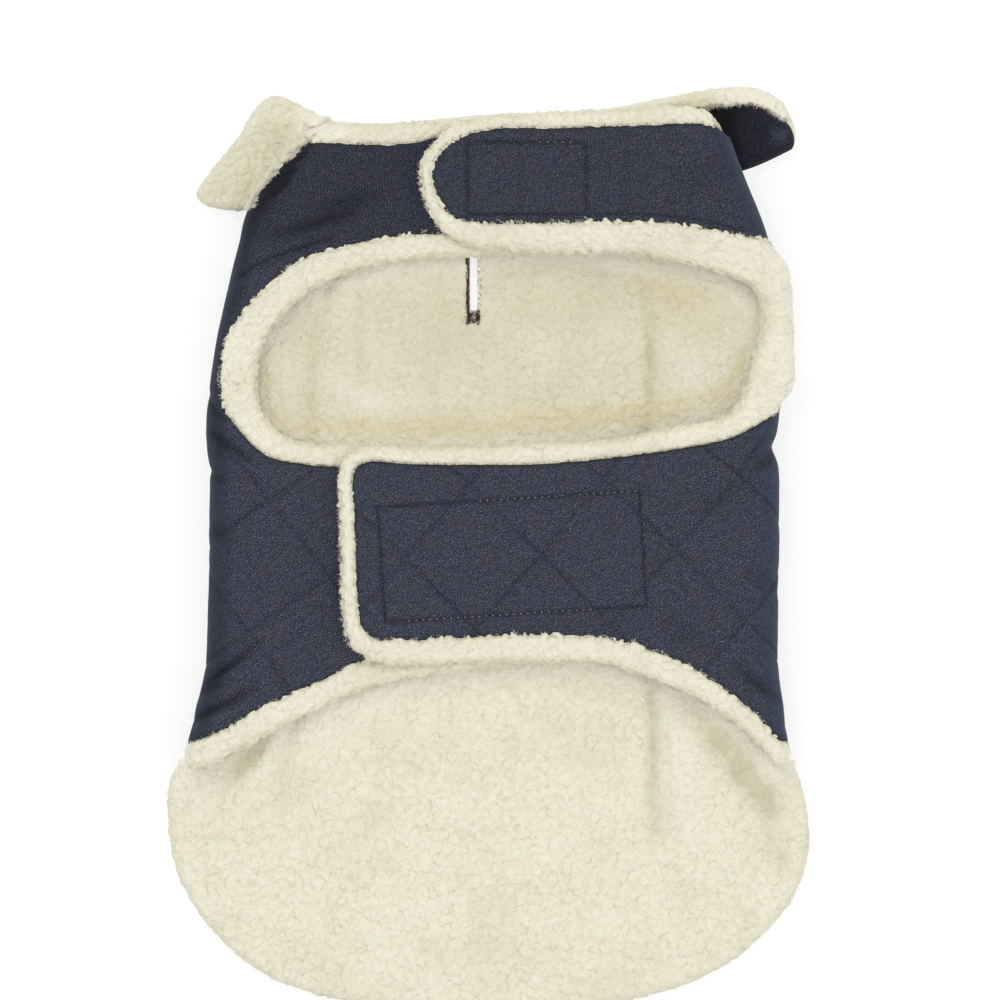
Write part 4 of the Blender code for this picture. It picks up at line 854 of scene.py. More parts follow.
def make_denim(name):
    shader = Shader(name)
    cloth = shader.cloth_place()
    edge, fold, groove, deep = (shader.fact(key) for key in ("edge", "fold", "groove", "deep"))
    dashes = shader.noise(shader.twill(cloth, (2.6, 1.0, 1.0)), 0.00034, 1.0)
    fine = shader.noise(cloth, 0.0003, 1.0)
    rib = shader.node("ShaderNodeSeparateXYZ", None, {0: shader.twill(cloth)}, 1)
    wobble = shader.noise(cloth, 0.0035, 1.0)
    line = shader.math("SINE", rib * (2.0 * math.pi / TWILL_PITCH) + wobble * 2.4)
    flecks = shader.noise(cloth, 0.0006, 1.0, 0.6)
    patches = shader.noise(cloth, 0.009, 2.0, 0.55)
    smudge = shader.noise(cloth, 0.0032, 2.0, 0.6)
    light = shader.ramp(dashes, 0.475, 0.615) * (0.62 + line * 0.38)
    body = shader.mix(shader.ramp(patches, 0.38, 0.62), colours().denim, colours().denim_blue)
    body = shader.mix(shader.clamped(light), body, colours().denim_light)
    body = shader.mix(shader.ramp(fine, 0.54, 0.34) * 0.6, body, (0.012, 0.013, 0.023))
    pale = shader.ramp(flecks, 0.62, 0.72) * (1.0 - fold * 0.6)
    body = shader.mix(pale * 0.7, body, (0.25, 0.26, 0.33))
    # Painted bluish sheen of the light where the cloth turns round the side folds
    body = shader.mix(fold * 0.6, body, colours().denim_fold_sheen)
    # Painted shade in the quilting's grooves, along the stitched lines and round the pads, with random darker
    # smudges
    dark = shader.clamped(groove * 0.75 + shader.ramp(smudge, 0.6, 0.3) * 0.38)
    body = shader.tint(dark, body, (0.42, 0.42, 0.5))
    # Painted shade in the creases, round the left side fold and where the collar lies on the denim; darker
    # towards the neck
    body = shader.tint(deep, body, (0.14, 0.13, 0.14))
    # Painted shade where the denim's edge turns under the pile, ragged like a frayed edge
    frayed = shader.clamped(edge * (0.7 + shader.noise(cloth, 0.0009, 1.0)))
    body = shader.mix(frayed, body, colours().denim_edge)
    relief = shader.bump(flecks, 0.0002, 0.3, shader.bump(light, 0.00025, 0.6))
    sheen = {"Sheen Weight": 0.12, "Sheen Roughness": 0.5, "Sheen Tint": (0.75, 0.8, 1.0, 1.0)}
    return shader.finish(body, 0.88, relief, 0.25, sheen)


THREADS = {
    "thread_dark": (0.012, 0.013, 0.024), "thread_pale": (0.34, 0.35, 0.38), "fray": (0.03, 0.028, 0.032),
    "slot_thread": (0.075, 0.03, 0.016), "slot_thread_dark": (0.03, 0.022, 0.012),
}


def make_thread(name):
    shader = Shader(name)
    tone = shader.noise(shader.object_place(), 0.0016, 1.0)
    dark, light = ([share * part for part in THREADS[name]] for share in (0.7, 1.3))
    return shader.finish(shader.mix(tone, dark, light), 0.8, specular=0.3)


def make_tape(name):
    shader = Shader(name)
    loops = shader.noise(shader.object_place(), 0.0009, 2.0)
    colour = shader.mix(loops, (0.012, 0.014, 0.022), (0.045, 0.05, 0.07))
    return shader.finish(colour, 0.85, shader.bump(loops, 0.0004, 0.8), 0.3)


def make_welt(name):
    shader = Shader(name)
    stain, patches = shader.fact("stain"), shader.noise(shader.object_place(), 0.0022, 2.0)
    # The binding's near-white ground is partly painted light, so that the slot's walls look as pale as the
    # lit floor seen through the slot
    colour = shader.mix(shader.clamped(stain * (0.5 + patches)), (0.93, 0.92, 0.90), colours().slot)
    return shader.finish(colour, 0.9, shader.bump(patches, 0.0004, 0.6))


def make_floor(name):
    """Paper lit from below, so that the shadows on it stay pale."""
    shader = Shader(name)
    tone = shader.noise(shader.object_place(), 0.4, 2.0)
    colour = shader.mix(tone, colours().floor, [0.985 * part for part in colours().floor])
    glow = {"Emission Color": (1.0, 1.0, 1.0, 1.0), "Emission Strength": FLOOR_GLOW}
    return shader.finish(colour, 0.9, specular=0.1, constants=glow)


# ---- The fronts ----

SHELLS = {"left": LEFT_SHELL, "right": RIGHT_SHELL}
LININGS = {"left": LEFT_LINING, "right": RIGHT_LINING}
CLOTHS = {  # each slot's material and its maker
    "denim": ("denim_cloth", make_denim),
    "pile": ("pile_wool", make_pile),
    "welt": ("welt_cloth", make_welt),
}


def on_cloth(side, rows):
    """Soft lines given in plan, as places on a front's cloth."""
    made = []
    for row_side, x0, y0, x1, y1, width, strength in rows:
        if row_side == side:
            (s0, _), (s1, _) = on_front(side, ((x0, y0), (x1, y1)))
            made.append((s0, y0, s1, y1, width, strength))
    return made


def topstitch_lines(side):
    """Each topstitched line of a front, on its cloth."""
    return [curve_through(on_front(side, line), 1.0) for line in TOPSTITCH[side]]


def pad_corners(name, grow=1.0):
    centre_x, centre_y, length, width, turn = PADS[name]
    c, s = math.cos(math.radians(turn)), math.sin(math.radians(turn))
    u, v = (np.array([length / 2 + grow, width / 2 + grow]) * ((-1, -1), (1, -1), (1, 1), (-1, 1))).T
    return np.column_stack([centre_x + u * c - v * s, centre_y + u * s + v * c])


def bell(distance, width):
    return np.exp(-((distance / width) ** 2))


def denim_height(side, flat, clear):
    """Relief of a front's denim over its plain form, how much of it is groove and how much is crease, as
    strengths of the painted shade in them.
    """
    uv = quilt_frame(side, flat)
    pillow = np.abs(np.sin(np.pi * uv[:, 0]) * np.sin(np.pi * uv[:, 1])) ** 0.35
    shown = smoothstep((QUILT_TOP - flat[:, 1]) / 14.0) * smoothstep((flat[:, 0] + 8.0) / 12.0)
    height = size_mm("puff") * pillow * shown * smoothstep(clear / 5.0)
    pitch = np.minimum(np.abs(uv[:, 0] - np.round(uv[:, 0])), np.abs(uv[:, 1] - np.round(uv[:, 1])))
    groove = bell(pitch * 40.0, 0.85) * shown * (0.6 + 0.35 * soft_noise(flat, 22.0, 61))
    height -= 0.35 * groove
    creases = strokes(flat, on_cloth(side, DENIM_CREASES))
    height -= creases
    if side == "right":
        x, over = plan(side, flat)[:, 0], flat[:, 0] > QUARTER
        for name in PADS:
            line = np.abs(pad_outside(name, x, flat[:, 1]) - 1.0)
            height -= 0.75 * bell(line, 1.1) * over
            groove = np.maximum(groove, 1.15 * bell(line, 0.9) * over)
    for line in topstitch_lines(side):
        beside = np.full(len(flat), 9.0)
        for spot in line:
            beside = np.minimum(beside, np.hypot(*(flat - spot).T))
        height -= 0.4 * bell(beside, 0.9)
        groove = np.maximum(groove, 0.9 * bell(beside, 0.8))
    for strength, size, seed in ((0.3, 24.0, 31), (0.16, 9.0, 32), (0.05, 3.5, 33)):
        height += strength * soft_noise(flat, size, seed)
    return height, groove, 0.46 * creases / 1.5


def edge_fall(clear):
    """How far a cloth's rolled edge has come down at a distance inside it."""
    part = np.clip(1.0 - clear / EDGE_ROUND, 0.0, 1.0)
    return (SHELL - 0.1) * (1.0 - np.sqrt(1.0 - part**2))


def build_denim(side):
    outline = front_outline(side, SHELLS[side])
    bm, flat = cut_cloth(lambda p: clearance(outline, p, 8.0), outline, 2.0, size_mm("denim_step"))
    clear = clearance(outline, flat, 24.0)
    height, groove, deep = denim_height(side, flat, clear)
    height = height - edge_fall(clear) * (flat[:, 0] > SEAM_S + 1.0)
    # Painted bluish sheen round the side fold
    fold = 1.0 - smoothstep((plan_depth(flat[:, 0]) - 3.5 + 2.2 * soft_noise(flat, 26.0, 41)) / 9.0)
    # Painted shade along the edge, as far as the pile laps over it, ragged
    ragged = clear - 0.3 - 0.7 * lap_width(side, flat) + 0.6 * soft_noise(flat, 2.2, 42)
    # Painted shade in the creases and round the left side fold, darker towards the neck, and the painted
    # contact shadow of the collar's left tip
    deep = deep + NECK_DEEP[side] * smoothstep((flat[:, 1] - 120.0) / 40.0) + SIDE_DEEP[side] * fold
    if side == "left":
        contact = strokes(plan(side, flat), TIP_CONTACT) * (0.8 + 0.5 * soft_noise(flat, 3.0, 43))
        deep = np.maximum(deep, contact * (flat[:, 0] > -6.0))
    edge, deep = 1.0 - smoothstep(ragged / 1.9), np.clip(deep, 0.0, 1.0)
    facts = {"edge": edge, "fold": fold, "groove": groove, "deep": deep}
    placed = place_front(side, flat, -height)
    shown_by = (f"{side}_front_shell",)
    obj = make_piece(f"{side}_front_denim", bm, flat, placed, "denim", facts, side == "right", shown_by)
    declare(outline)


def fluff(flat):
    """How ragged the pile's edge is on the denim: 1 on the lower edges, less on the turned upper edges."""
    y = flat[:, 1]
    belly_top = smoothstep((y - 26.0) / 8.0) * smoothstep((66.0 - y) / 6.0)
    neck_top = smoothstep((y - 180.0) / 8.0)
    return np.clip(1.0 - 0.86 * belly_top - 0.6 * neck_top, 0.12, 1.0)


def strap_end(side, flat):
    """1 at the narrow pile edge of the right straps' ends."""
    if side == "left":
        return np.zeros(len(flat))
    x, y = plan(side, flat).T
    neck, belly = smoothstep((-20.0 - x) / 6.0) * (y > 140.0), smoothstep((-57.0 - x) / 5.0) * (y < 60.0)
    return np.maximum(neck, belly)


def lap_width(side, flat):
    """How far the pile lies over the denim's edge."""
    lobes = 2.7 * curls(flat, 5.2, 51) + 0.9 * curls(flat, 2.6, 57)
    uneven = lobes + 0.35 * soft_noise(flat, 1.7, 52) + 0.5 * soft_noise(flat, 11.0, 53)
    return 0.25 + fluff(flat) * (1.0 - 0.5 * strap_end(side, flat)) * (uneven - 0.1)


def rolled(cloth, base, thickness, flat):
    """Places of a cloth with a rolled edge: flat places, inward and the direction the pile stands in."""
    clear, spot, normal = cloth
    radius = thickness / 2
    beyond = radius - clear
    angle = np.clip(beyond / radius, 0.0, math.pi)
    out = np.where(beyond > math.pi * radius, -(beyond - math.pi * radius), radius * np.sin(angle))
    start = spot - normal * radius[:, None]
    places = np.where((beyond > 0.0)[:, None], start + normal * out[:, None], flat)
    inward = base + radius * (1.0 - np.cos(angle))
    return places, inward, np.sin(angle), np.cos(angle)


def edge_frame(loop, flat, reach=20.0):
    """Distance inside an outline, the nearest place on it and the direction out of it."""
    clear, spot = nearest(loop, flat, reach)
    probes = np.array([(0.4, 0.0), (0.0, 0.4)])
    slope = np.column_stack([
        clearance(loop, flat + probe, reach) - clearance(loop, flat - probe, reach) for probe in probes
    ])
    length = np.maximum(np.linalg.norm(slope, axis=1), 1e-6)
    return clear, spot, -slope / length[:, None]


def build_pile_edge(side):
    """The band of pile that rolls out round a front's denim."""
    lining, shell = front_outline(side, LININGS[side]), front_outline(side, SHELLS[side])
    beyond = (math.pi - 1.0) * (PLY + CROWN) / 2 + UNDER_RUN

    def room(p):
        band = np.minimum(clearance(lining, p, 20.0) + beyond, TUCK - clearance(shell, p, 8.0))
        return np.minimum(band, p[:, 0] - SEAM_S)

    bm, flat = cut_cloth(room, lining, beyond + 2.0, size_mm("pile_step"))
    clear, spot, out = edge_frame(lining, flat)
    outside = -clearance(shell, flat, 20.0)
    risen = outside + lap_width(side, flat)
    roll_height = CROWN * (1.0 - np.exp(-np.maximum(risen, 0.0) / 1.4))
    base = np.where(risen > 0.0, -roll_height, np.minimum(-risen, 1.2) + 0.2)
    hidden = np.zeros(len(flat))
    if side == "right":
        hidden = smoothstep((13.0 - flat[:, 0]) / 5.0) * smoothstep((flat[:, 1] - 188.0) / 5.0)
        base = base - leg_bulge(flat, outside) + 3.6 * hidden
    thickness = np.maximum(PLY - np.minimum(base, -0.4), PLY)
    places, inward, aside, up = rolled((clear, spot, out), base, thickness, flat)
    lumps = 1.7 * (curls(flat, 5.6, 141) - 0.42) + 0.5 * (curls(flat, 2.6, 142) - 0.4)
    lumps = lumps - 0.9 * strap_end(side, flat)
    places = places + out * (lumps * aside * fluff(flat) ** 0.5)[:, None]
    height, gap_shade = pile_relief(flat, {"left": 100, "right": 200}[side])
    height = (height + LOOSE) * smoothstep(risen / 2.2) * np.where(up < 0.0, 0.5, 1.0)
    placed = place_front(side, places + out * (height * aside)[:, None], inward - height * up)
    shade = 0.10 + 0.10 * (1.0 - smoothstep((clear + 1.5) / 4.5)) + 0.12 * soft_noise(flat, 20.0, 71)
    facts = {
        "gap_shade": gap_shade * smoothstep(risen / 1.5), "shade": shade + 2.0 * hidden,
        "lit": smoothstep((clear - 1.0) / 3.0) * smoothstep(risen / 3.0) * 0.3,
    }
    return make_piece(f"{side}_front_pile_edge", bm, flat, placed, "pile", facts, side == "right"), lining


def build_pile_inner(side):
    """The pile face of a front that looks towards the body."""
    edge, lining = build_pile_edge(side)
    past_seam = lining - (PAST_SEAM, 0.0) * (lining[:, :1] < SEAM_S + 0.05)

    def room(p):
        return np.minimum(clearance(past_seam, p, 8.0) - 1.6, p[:, 0] - SEAM_S + 1.5)

    bm, flat = cut_cloth(room, past_seam, 2.0, COARSE_STEP)
    height, gap_shade = pile_relief(flat, {"left": 300, "right": 400}[side])
    height = 0.6 * height * smoothstep((np.abs(flat[:, 0]) + 4.0) / 20.0)
    placed = place_front(side, flat, PLY - 0.5 + height)
    facts = {"gap_shade": gap_shade, "shade": 0.45, "lit": 0.0}
    shown_by = (f"{side}_front_lining",)
    obj = make_piece(f"{side}_front_pile", bm, flat, placed, "pile", facts, side == "left", shown_by)
    declare(lining)


# ---- The back ----

SEAM_PATCHES = [  # lining that runs on under the fronts at the seams' lower ends and along the leg opening
    np.array([(sign * 120.0, -101.5), (sign * 141.0, -101.5), (sign * 139.0, -92.0), (sign * 120.0, -92.0)])
    for sign in (-1.0, 1.0)
] + [np.array([(118.0, 54.0), (131.0, 54.0), (132.0, 100.0), (130.5, 138.0), (118.0, 138.0)])]


def back_outlines():
    """The back lining's outline and the back denim's."""
    ends = {}
    for side in SIDES:
        y = curve_through([(0.0, SEAM_TOP), (0.0, SEAM_END)], 4.0)[:, 1]
        y[-1] -= SEAM_GAP
        ends[side] = np.column_stack([SIGN[side] * (fold_x(side, y) - SEAM_DEPTH - SEAM_GAP), y])
    left, right = ends["left"], ends["right"]
    neck_x = np.linspace(left[0, 0], right[0, 0] + NECK_SPREAD, 40)
    neck = np.column_stack([neck_x, neck_y(neck_x) - RIDGE_DEEP - SEAM_GAP])
    tail = curve_through(np.vstack([left[-1:], TAIL_EDGE, right[-1:]]), 3.0)
    lining = np.vstack([neck[::-1], left, tail[1:-1], right[::-1]])
    middle = np.array([0.0, -60.0])
    away = middle - tail[4:-4]
    inset = tail[4:-4] + away * (TAIL_INSET / np.linalg.norm(away, axis=1))[:, None]
    denim = np.vstack([neck[::-1], left, inset, right[::-1]])
    return lining, denim


def slot_outline(grow):
    """The leash slot's outline, with the longer bar below it."""
    half = SLOT_HALF + grow
    low, high = SLOT_LOW - (WELT_END if grow else 0.0), SLOT_HIGH + grow
    left, right = SLOT_X - half, SLOT_X + half
    return np.array([(left, low), (right, low), (right, high), (left, high)])


def back_creases(flat):
    """Depth of the troughs in the back's pile."""
    x, y = flat.T
    shown = smoothstep((138.0 - y) / 15.0) * smoothstep((y + 150.0) / 30.0)
    deep = strokes(flat, BACK_CREASES)
    for side in SIDES:
        depth = fold_x(side, y) - SIGN[side] * x
        deep += 1.5 * bell(depth - CREASE_DEPTH[side], 4.0) * shown
    return deep


def build_back_pile():
    lining, _ = back_outlines()
    hole = slot_outline(WELT - 0.6)
    beyond = (math.pi - 1.0) * PLY / 2 + UNDER_RUN

    def free(spot):
        return smoothstep((-99.0 - spot[:, 1]) / 8.0)

    def room(p):
        clear, spot = nearest(lining, p, 18.0)
        ragged = (0.2 + 0.9 * soft_noise(p, 2.1, 98)) * (p[:, 0] < SLOT_X) - 0.9 * (p[:, 0] > SLOT_X)
        cloth = np.minimum(clear + beyond * free(spot), -clearance(hole, p, 8.0) - ragged)
        return np.max([cloth, *(clearance(patch, p, 8.0) for patch in SEAM_PATCHES)], axis=0)

    bm, flat = cut_cloth(room, lining, beyond + 2.0, size_mm("back_step"))
    clear, spot, out = edge_frame(lining, flat)
    loose = free(spot)
    places, fall, aside, up = rolled((clear, spot, out), np.zeros(len(flat)), np.full(len(flat), PLY), flat)
    height, gap_shade = pile_relief(flat, 500)
    height = (height + 0.25) * np.where(up < 0.0, 0.3, 1.0)
    places = places + out * (height * aside)[:, None]
    places = flat * (1.0 - loose[:, None]) + places * loose[:, None]
    deep = back_creases(flat)
    placed = place_back(places, PLY - fall * loose + height * up - deep * (fall < 0.5))
    placed[:, 2] = np.maximum(placed[:, 2], 0.1)
    opening = smoothstep((flat[:, 1] - 45.0) / 12.0)
    shade = 0.05 + 0.36 * opening + 0.10 * soft_noise(flat, 24.0, 72) + 0.10 * deep
    mottled = 1.0 + 0.5 * soft_noise(flat, 7.0, 74) + 0.6 * soft_noise(flat, 2.6, 75)
    shade += strokes(flat, BACK_DIM) * mottled
    shade += 0.22 * (1.0 - smoothstep((clear + 1.0) / 6.0)) * loose
    warm_shade = strokes(flat, BACK_SHADE) * (1.0 + 0.4 * soft_noise(flat, 6.0, 73)) + 0.06 * deep
    shown = -np.max([clearance(front_plan, flat, 30.0) for front_plan in FRONT_PLANS.values()], axis=0)
    lit = 0.12 * (1.0 - opening) + 0.95 * np.exp(-np.maximum(shown, 0.0) / 8.0) + strokes(flat, BACK_LIT)
    facts = {"gap_shade": gap_shade, "shade": shade, "warm_shade": warm_shade, "lit": lit}
    obj = make_piece("back_pile", bm, flat, placed, "pile", facts, shown_by=("back_lining",))
    declare(lining)


def build_back_denim():
    _, denim = back_outlines()
    hole = slot_outline(SEAM_GAP)

    def room(p):
        return np.minimum(clearance(denim, p, 12.0), -3.0 * clearance(hole, p, 12.0))

    bm, _ = cut_cloth(room, denim, 2.0, BACK_DENIM_STEP)
    flat, thick = thicken(bm, SHELL)
    placed = place_back(flat, np.clip(thick, 0.0, SHELL))
    # Painted shade along the back denim's edge
    edge = 1.0 - smoothstep(clearance(denim, flat, 8.0) / 2.0)
    facts = {"edge": edge, "fold": 0.0, "groove": 0.0, "deep": 0.0}
    obj = make_piece("back_denim", bm, flat, placed, "denim", facts, shown_by=("back_shell",))
    declare(denim)


def build_slot():
    """The leash slot's binding, worked round the hole, and its stitches."""
    outer, inner = slot_outline(WELT), slot_outline(0.0)

    def room(p):
        return np.minimum(clearance(outer, p, 4.0), -clearance(inner, p, 4.0))

    bm, _ = cut_cloth(room, outer, 1.0, SLOT_STEP)
    flat, height = thicken(bm)
    on_top = height > 0.5
    swell = np.sqrt(1.0 - np.clip(1.0 - room(flat) / 0.9, 0.0, 1.0) ** 2)
    x, y = flat[:, 0] - SLOT_X, flat[:, 1]
    inward = np.where(on_top, PLY - 1.2 + (1.1 + 0.35 * soft_noise(flat, 1.3, 95)) * swell, 0.1)
    ragged = 0.5 * soft_noise(flat, 1.6, 96) + 0.3 * soft_noise(flat, 5.0, 97)
    left = smoothstep((-x - SLOT_HALF) / 0.25)
    bar = smoothstep((SLOT_LOW + 0.4 + ragged - y) / 1.2)
    bar *= smoothstep((y - SLOT_LOW + WELT_END - 0.8 - ragged) / 1.0)
    bar *= 1.0 - 0.55 * bell(x - 0.4, 0.9)
    facts = {"stain": np.where(on_top, np.clip(left * (1.3 + ragged) + bar, 0.0, 1.0), 0.0)}
    placed = place_back(flat, inward)
    make_piece("slot_welt", bm, flat, placed, "welt", facts, shown_by=("leash_slot_binding",))
    rng = np.random.default_rng(7)
    for name, count in (("slot_thread", 260), ("slot_thread_dark", 200)):
        y = rng.uniform(SLOT_LOW - WELT_END, SLOT_HIGH, count)
        side = np.where(rng.random(count) < 0.8, -1.0, 1.0)
        in_bar = rng.random(count) < 0.45
        y = np.where(in_bar, rng.uniform(SLOT_LOW - WELT_END + 0.4, SLOT_LOW + 1.0, count), y)
        across = rng.uniform(-3.0, 3.0, count)
        reach = np.where(in_bar, across, side * rng.uniform(SLOT_HALF + 0.2, SLOT_HALF + 2.0, count))
        over = PLY + 0.05 + 0.9 * smoothstep((np.abs(reach) - 2.2) / 0.7)
        places = place_back(np.column_stack([SLOT_X + reach, y]), over)
        turn = rng.normal(0.0, 0.9, count) + np.where(in_bar, 1.2, 0.0)
        length = rng.uniform(0.5, 1.4, count)
        tilt = rng.uniform(-0.2, 0.2, count)
        directions = np.column_stack([np.cos(turn), np.sin(turn), tilt]) * length[:, None]
        axes = frames_along(directions, np.tile(UP, (count, 1)), rng.uniform(0.15, 0.34, count))
        joined(f"{name}s", stitch_template(), places, axes, material_of(name, make_thread))


# ---- The collar ----


def plan_outline(side):
    """A front's outline as it is seen from above."""
    loop = front_outline(side, LININGS[side], 2.5)
    return plan(side, loop[loop[:, 0] > -QUARTER])


FRONT_PLANS = {side: plan_outline(side) for side in SIDES}


def laid_over_rim(x, y):
    """A place of the denim's outline, moved over the pile side's rim at the right tip."""
    if x > 110.0 and y < 198.0:
        return x + 1.4, y - 1.6
    if x > 80.0 and y > 198.0:
        return x + 0.6, y + 2.6
    return x, y


COLLAR_PLAN, COLLAR_DENIM = marked_outline(COLLAR_TOP), marked_outline(COLLAR_UNDER)
COLLAR_DENIM_SEEN = marked_outline([(*laid_over_rim(x, y), *corner) for x, y, *corner in COLLAR_UNDER])


def build_collar_pile():
    """The collar's pile side: the roll round the neck, the turned left tip and the layer underneath."""
    bm, _ = cut_cloth(lambda p: clearance(COLLAR_PLAN, p, 12.0), COLLAR_PLAN, 2.0, size_mm("pile_step"))
    flat, wall = thicken(bm)
    x, y = flat.T
    clear, _, normal = edge_frame(COLLAR_PLAN, flat)
    height, gap_shade = pile_relief(flat, 600)
    ragged = 2.4 * curls(flat, 5.2, 81) + 0.9 * curls(flat, 2.6, 84) - 0.9
    ridge = smoothstep((y - (neck_y(x) - RIDGE_DEEP - 0.6 * ragged)) / 1.0)
    ridge_top = RIDGE_TOP + (RIDGE_TOP_TIP - RIDGE_TOP) * smoothstep((x - TIP_START) / TIP_LENGTH)
    plate = TIP_TOP + (RIDGE_TOP - TIP_TOP) * smoothstep((y - PLATE_RISE) / PLATE_RISE_LENGTH)
    on_plate = smoothstep((PLATE_X - x) / 4.0)
    upper = ARM + (ridge_top - ARM) * ridge
    upper = upper + (plate - upper) * on_plate
    beside = -clearance(FRONT_PLANS["left"], flat, 14.0)
    climb = smoothstep(1.0 - beside / 9.0) * smoothstep((-74.0 - x) / 6.0) * smoothstep((beside + 4.0) / 3.0)
    upper = upper + CLIMB * climb * smoothstep((y - 158.0) / 10.0)
    over_denim = smoothstep((clearance(COLLAR_DENIM, flat, 8.0) + 0.5) / 0.6) * (x < UNDER_RAMP[0])
    lower = (UNDER_COLLAR + LAYER_GAP) * over_denim
    middle, half = (upper + lower) / 2, (upper - lower) / 2
    width = np.minimum(4.2, 0.9 * np.maximum(half, 2.0))
    clear = clear + 9.0 * climb
    turn = np.clip(clear / width, 0.0, 1.0) * math.pi / 2
    rounding = np.sin(turn)
    outward = np.clip(clear, 0.0, width) - width * (1.0 - np.cos(turn))
    shown = np.maximum(ridge, on_plate)
    relief = (height + 0.2) * shown
    z = np.where(wall > 0.5, middle + (half + relief) * rounding + RIM_STEP, middle - half * rounding)
    places = flat + normal * (relief * np.cos(turn) * 0.6 + outward)[:, None]
    tip = smoothstep((PLATE_X - x) / 10.0)
    facts = {
        "gap_shade": gap_shade * shown * rounding,
        "shade": 0.12 + 0.14 * tip + 0.12 * soft_noise(flat, 15.0, 83) + 0.12 * (1.0 - rounding),
        "warm_shade": strokes(flat, COLLAR_SHADE),
        "lit": (0.5 - 0.35 * tip) * shown,
    }
    placed = np.column_stack([places, np.maximum(z, 0.1)])
    obj = make_piece("collar_pile", bm, flat, placed, "pile", facts, shown_by=("collar_top",))
    declare(COLLAR_PLAN)


def tip_reach(p):
    """How far up over the left fold the tip's pile lies."""
    top = smoothstep((p[:, 1] - 188.0) / 6.0)
    along = p * (0.25, 1.0)
    return 4.2 + 4.2 * curls(along, 4.6, 87) + 2.4 * curls(along, 2.0, 88) + 3.0 * top


def build_tip_lap():
    """The left tip's pile where it lies up against the left front's denim."""
    ends = np.array([(-9.0, 157.0), (14.0, 201.0)])
    bm, flat = cut_cloth(lambda p: np.minimum(p[:, 0] + 8.5, 12.5 - p[:, 0]), ends, 0.0, TIP_LAP_STEP)
    inside = tip_reach(flat) - flat[:, 0]
    height, gap_shade = pile_relief(flat, 650)
    rise = 1.3 * (1.0 - np.exp(-np.maximum(inside, 0.0) / 1.2)) - np.clip(-inside, 0.0, 1.4) - 0.2
    rise += (1.5 * height + 0.3) * smoothstep(inside / 2.0) + 1.8 * smoothstep(inside / 8.0)
    rise -= 4.0 * smoothstep((163.0 - flat[:, 1]) / 4.0)
    facts = {"gap_shade": gap_shade, "shade": 0.4, "lit": 0.0}
    make_piece("collar_tip_lap", bm, flat, place_front("left", flat, -rise), "pile", facts)


def build_collar_denim():
    """The collar's denim side, which shows at the right tip."""
    bm, flat = cut_cloth(lambda p: clearance(COLLAR_DENIM_SEEN, p, 8.0), COLLAR_DENIM, 2.0, COLLAR_DENIM_STEP)
    x, y = flat.T
    clear = clearance(COLLAR_DENIM_SEEN, flat, 12.0)
    climb = smoothstep((x - UNDER_RAMP[0]) / (UNDER_RAMP[1] - UNDER_RAMP[0]))
    tip = smoothstep((x - 100.0) / 20.0)
    crown = 0.9 * tip * smoothstep(clear / 8.0) + 0.3 * soft_noise(flat, 9.0, 91) * tip
    to_roll = np.maximum(neck_y(x) - RIDGE_DEEP - y, 0.0)
    crown += 3.2 * tip * np.exp(-to_roll / 6.0) * smoothstep((143.0 - x) / 14.0)
    z = (ARM + SEAM_GAP) * climb + UNDER_COLLAR + crown - edge_fall(clear)
    # Painted shade over all of the collar's denim, which lies under the roll, with a paler, bluer patch at
    # the tip, a painted shadow towards the right band's end and painted shade along its edge
    pale, shadow = bell(np.hypot(x - 139.5, y - 197.5), 4.5), bell(np.maximum(x - 114.0, 0.0), 6.0)
    facts = {
        "edge": 1.0 - smoothstep((clear - 0.2) / 1.4), "fold": 0.3 * pale, "groove": 1.0 - pale,
        "deep": np.clip(0.60 - 0.52 * pale + 0.5 * shadow, 0.0, 1.0),
    }
    placed = np.column_stack([flat, z])
    obj = make_piece("collar_denim", bm, flat, placed, "denim", facts, shown_by=("collar_under",))
    declare(COLLAR_DENIM)


# ---- Stitches and fibres ----


def stitch_line(side, line, pitch=2.7, length=1.9, radius=0.42, rise=0.12):
    """The places and axes of stitches along a line on a front's cloth."""
    stations = curve_through(line, pitch)
    middle = (stations[:-1] + stations[1:]) / 2
    run = np.diff(stations, axis=0)
    run /= np.linalg.norm(run, axis=1)[:, None]
    outline = front_outline(side, SHELLS[side])
    height = denim_height(side, middle, clearance(outline, middle, 24.0))[0] + rise
    probe = 0.3
    places = place_front(side, middle, -height)
    directions = place_front(side, middle + probe * run, -height) - places
    directions *= (length / np.linalg.norm(directions, axis=1))[:, None]
    ups = (place_front(side, middle, -height - probe) - places) / probe
    return places, frames_along(directions, ups, np.full(len(places), radius))


def build_stitches():
    """Topstitching along the straps and round the pads behind them."""
    dark = [stitch_line(side, line) for side in SIDES for line in topstitch_lines(side)]
    runs = {"thread_dark": dark, "thread_pale": []}
    for name in PADS:
        corners = pad_corners(name)
        for a, b in zip(corners, np.roll(corners, -1, axis=0)):
            whole = on_front("right", curve_through((a, b), 2.0))
            runs["thread_dark"].append(stitch_line("right", whole, rise=0.02))
        for edge, start, end in PALE_STITCHES[name]:
            a, b = corners[edge], corners[(edge + 1) % 4]
            part = on_front("right", curve_through((a + start * (b - a), a + end * (b - a)), 2.0))
            runs["thread_pale"].append(stitch_line("right", part, 3.3, 1.0, 0.36, 0.3))
    for colour, chosen in runs.items():
        origins, axes = (np.concatenate(parts) for parts in zip(*chosen))
        thread = material_of(colour, make_thread)
        joined(f"stitches_{colour}", stitch_template(), origins, axes, thread)


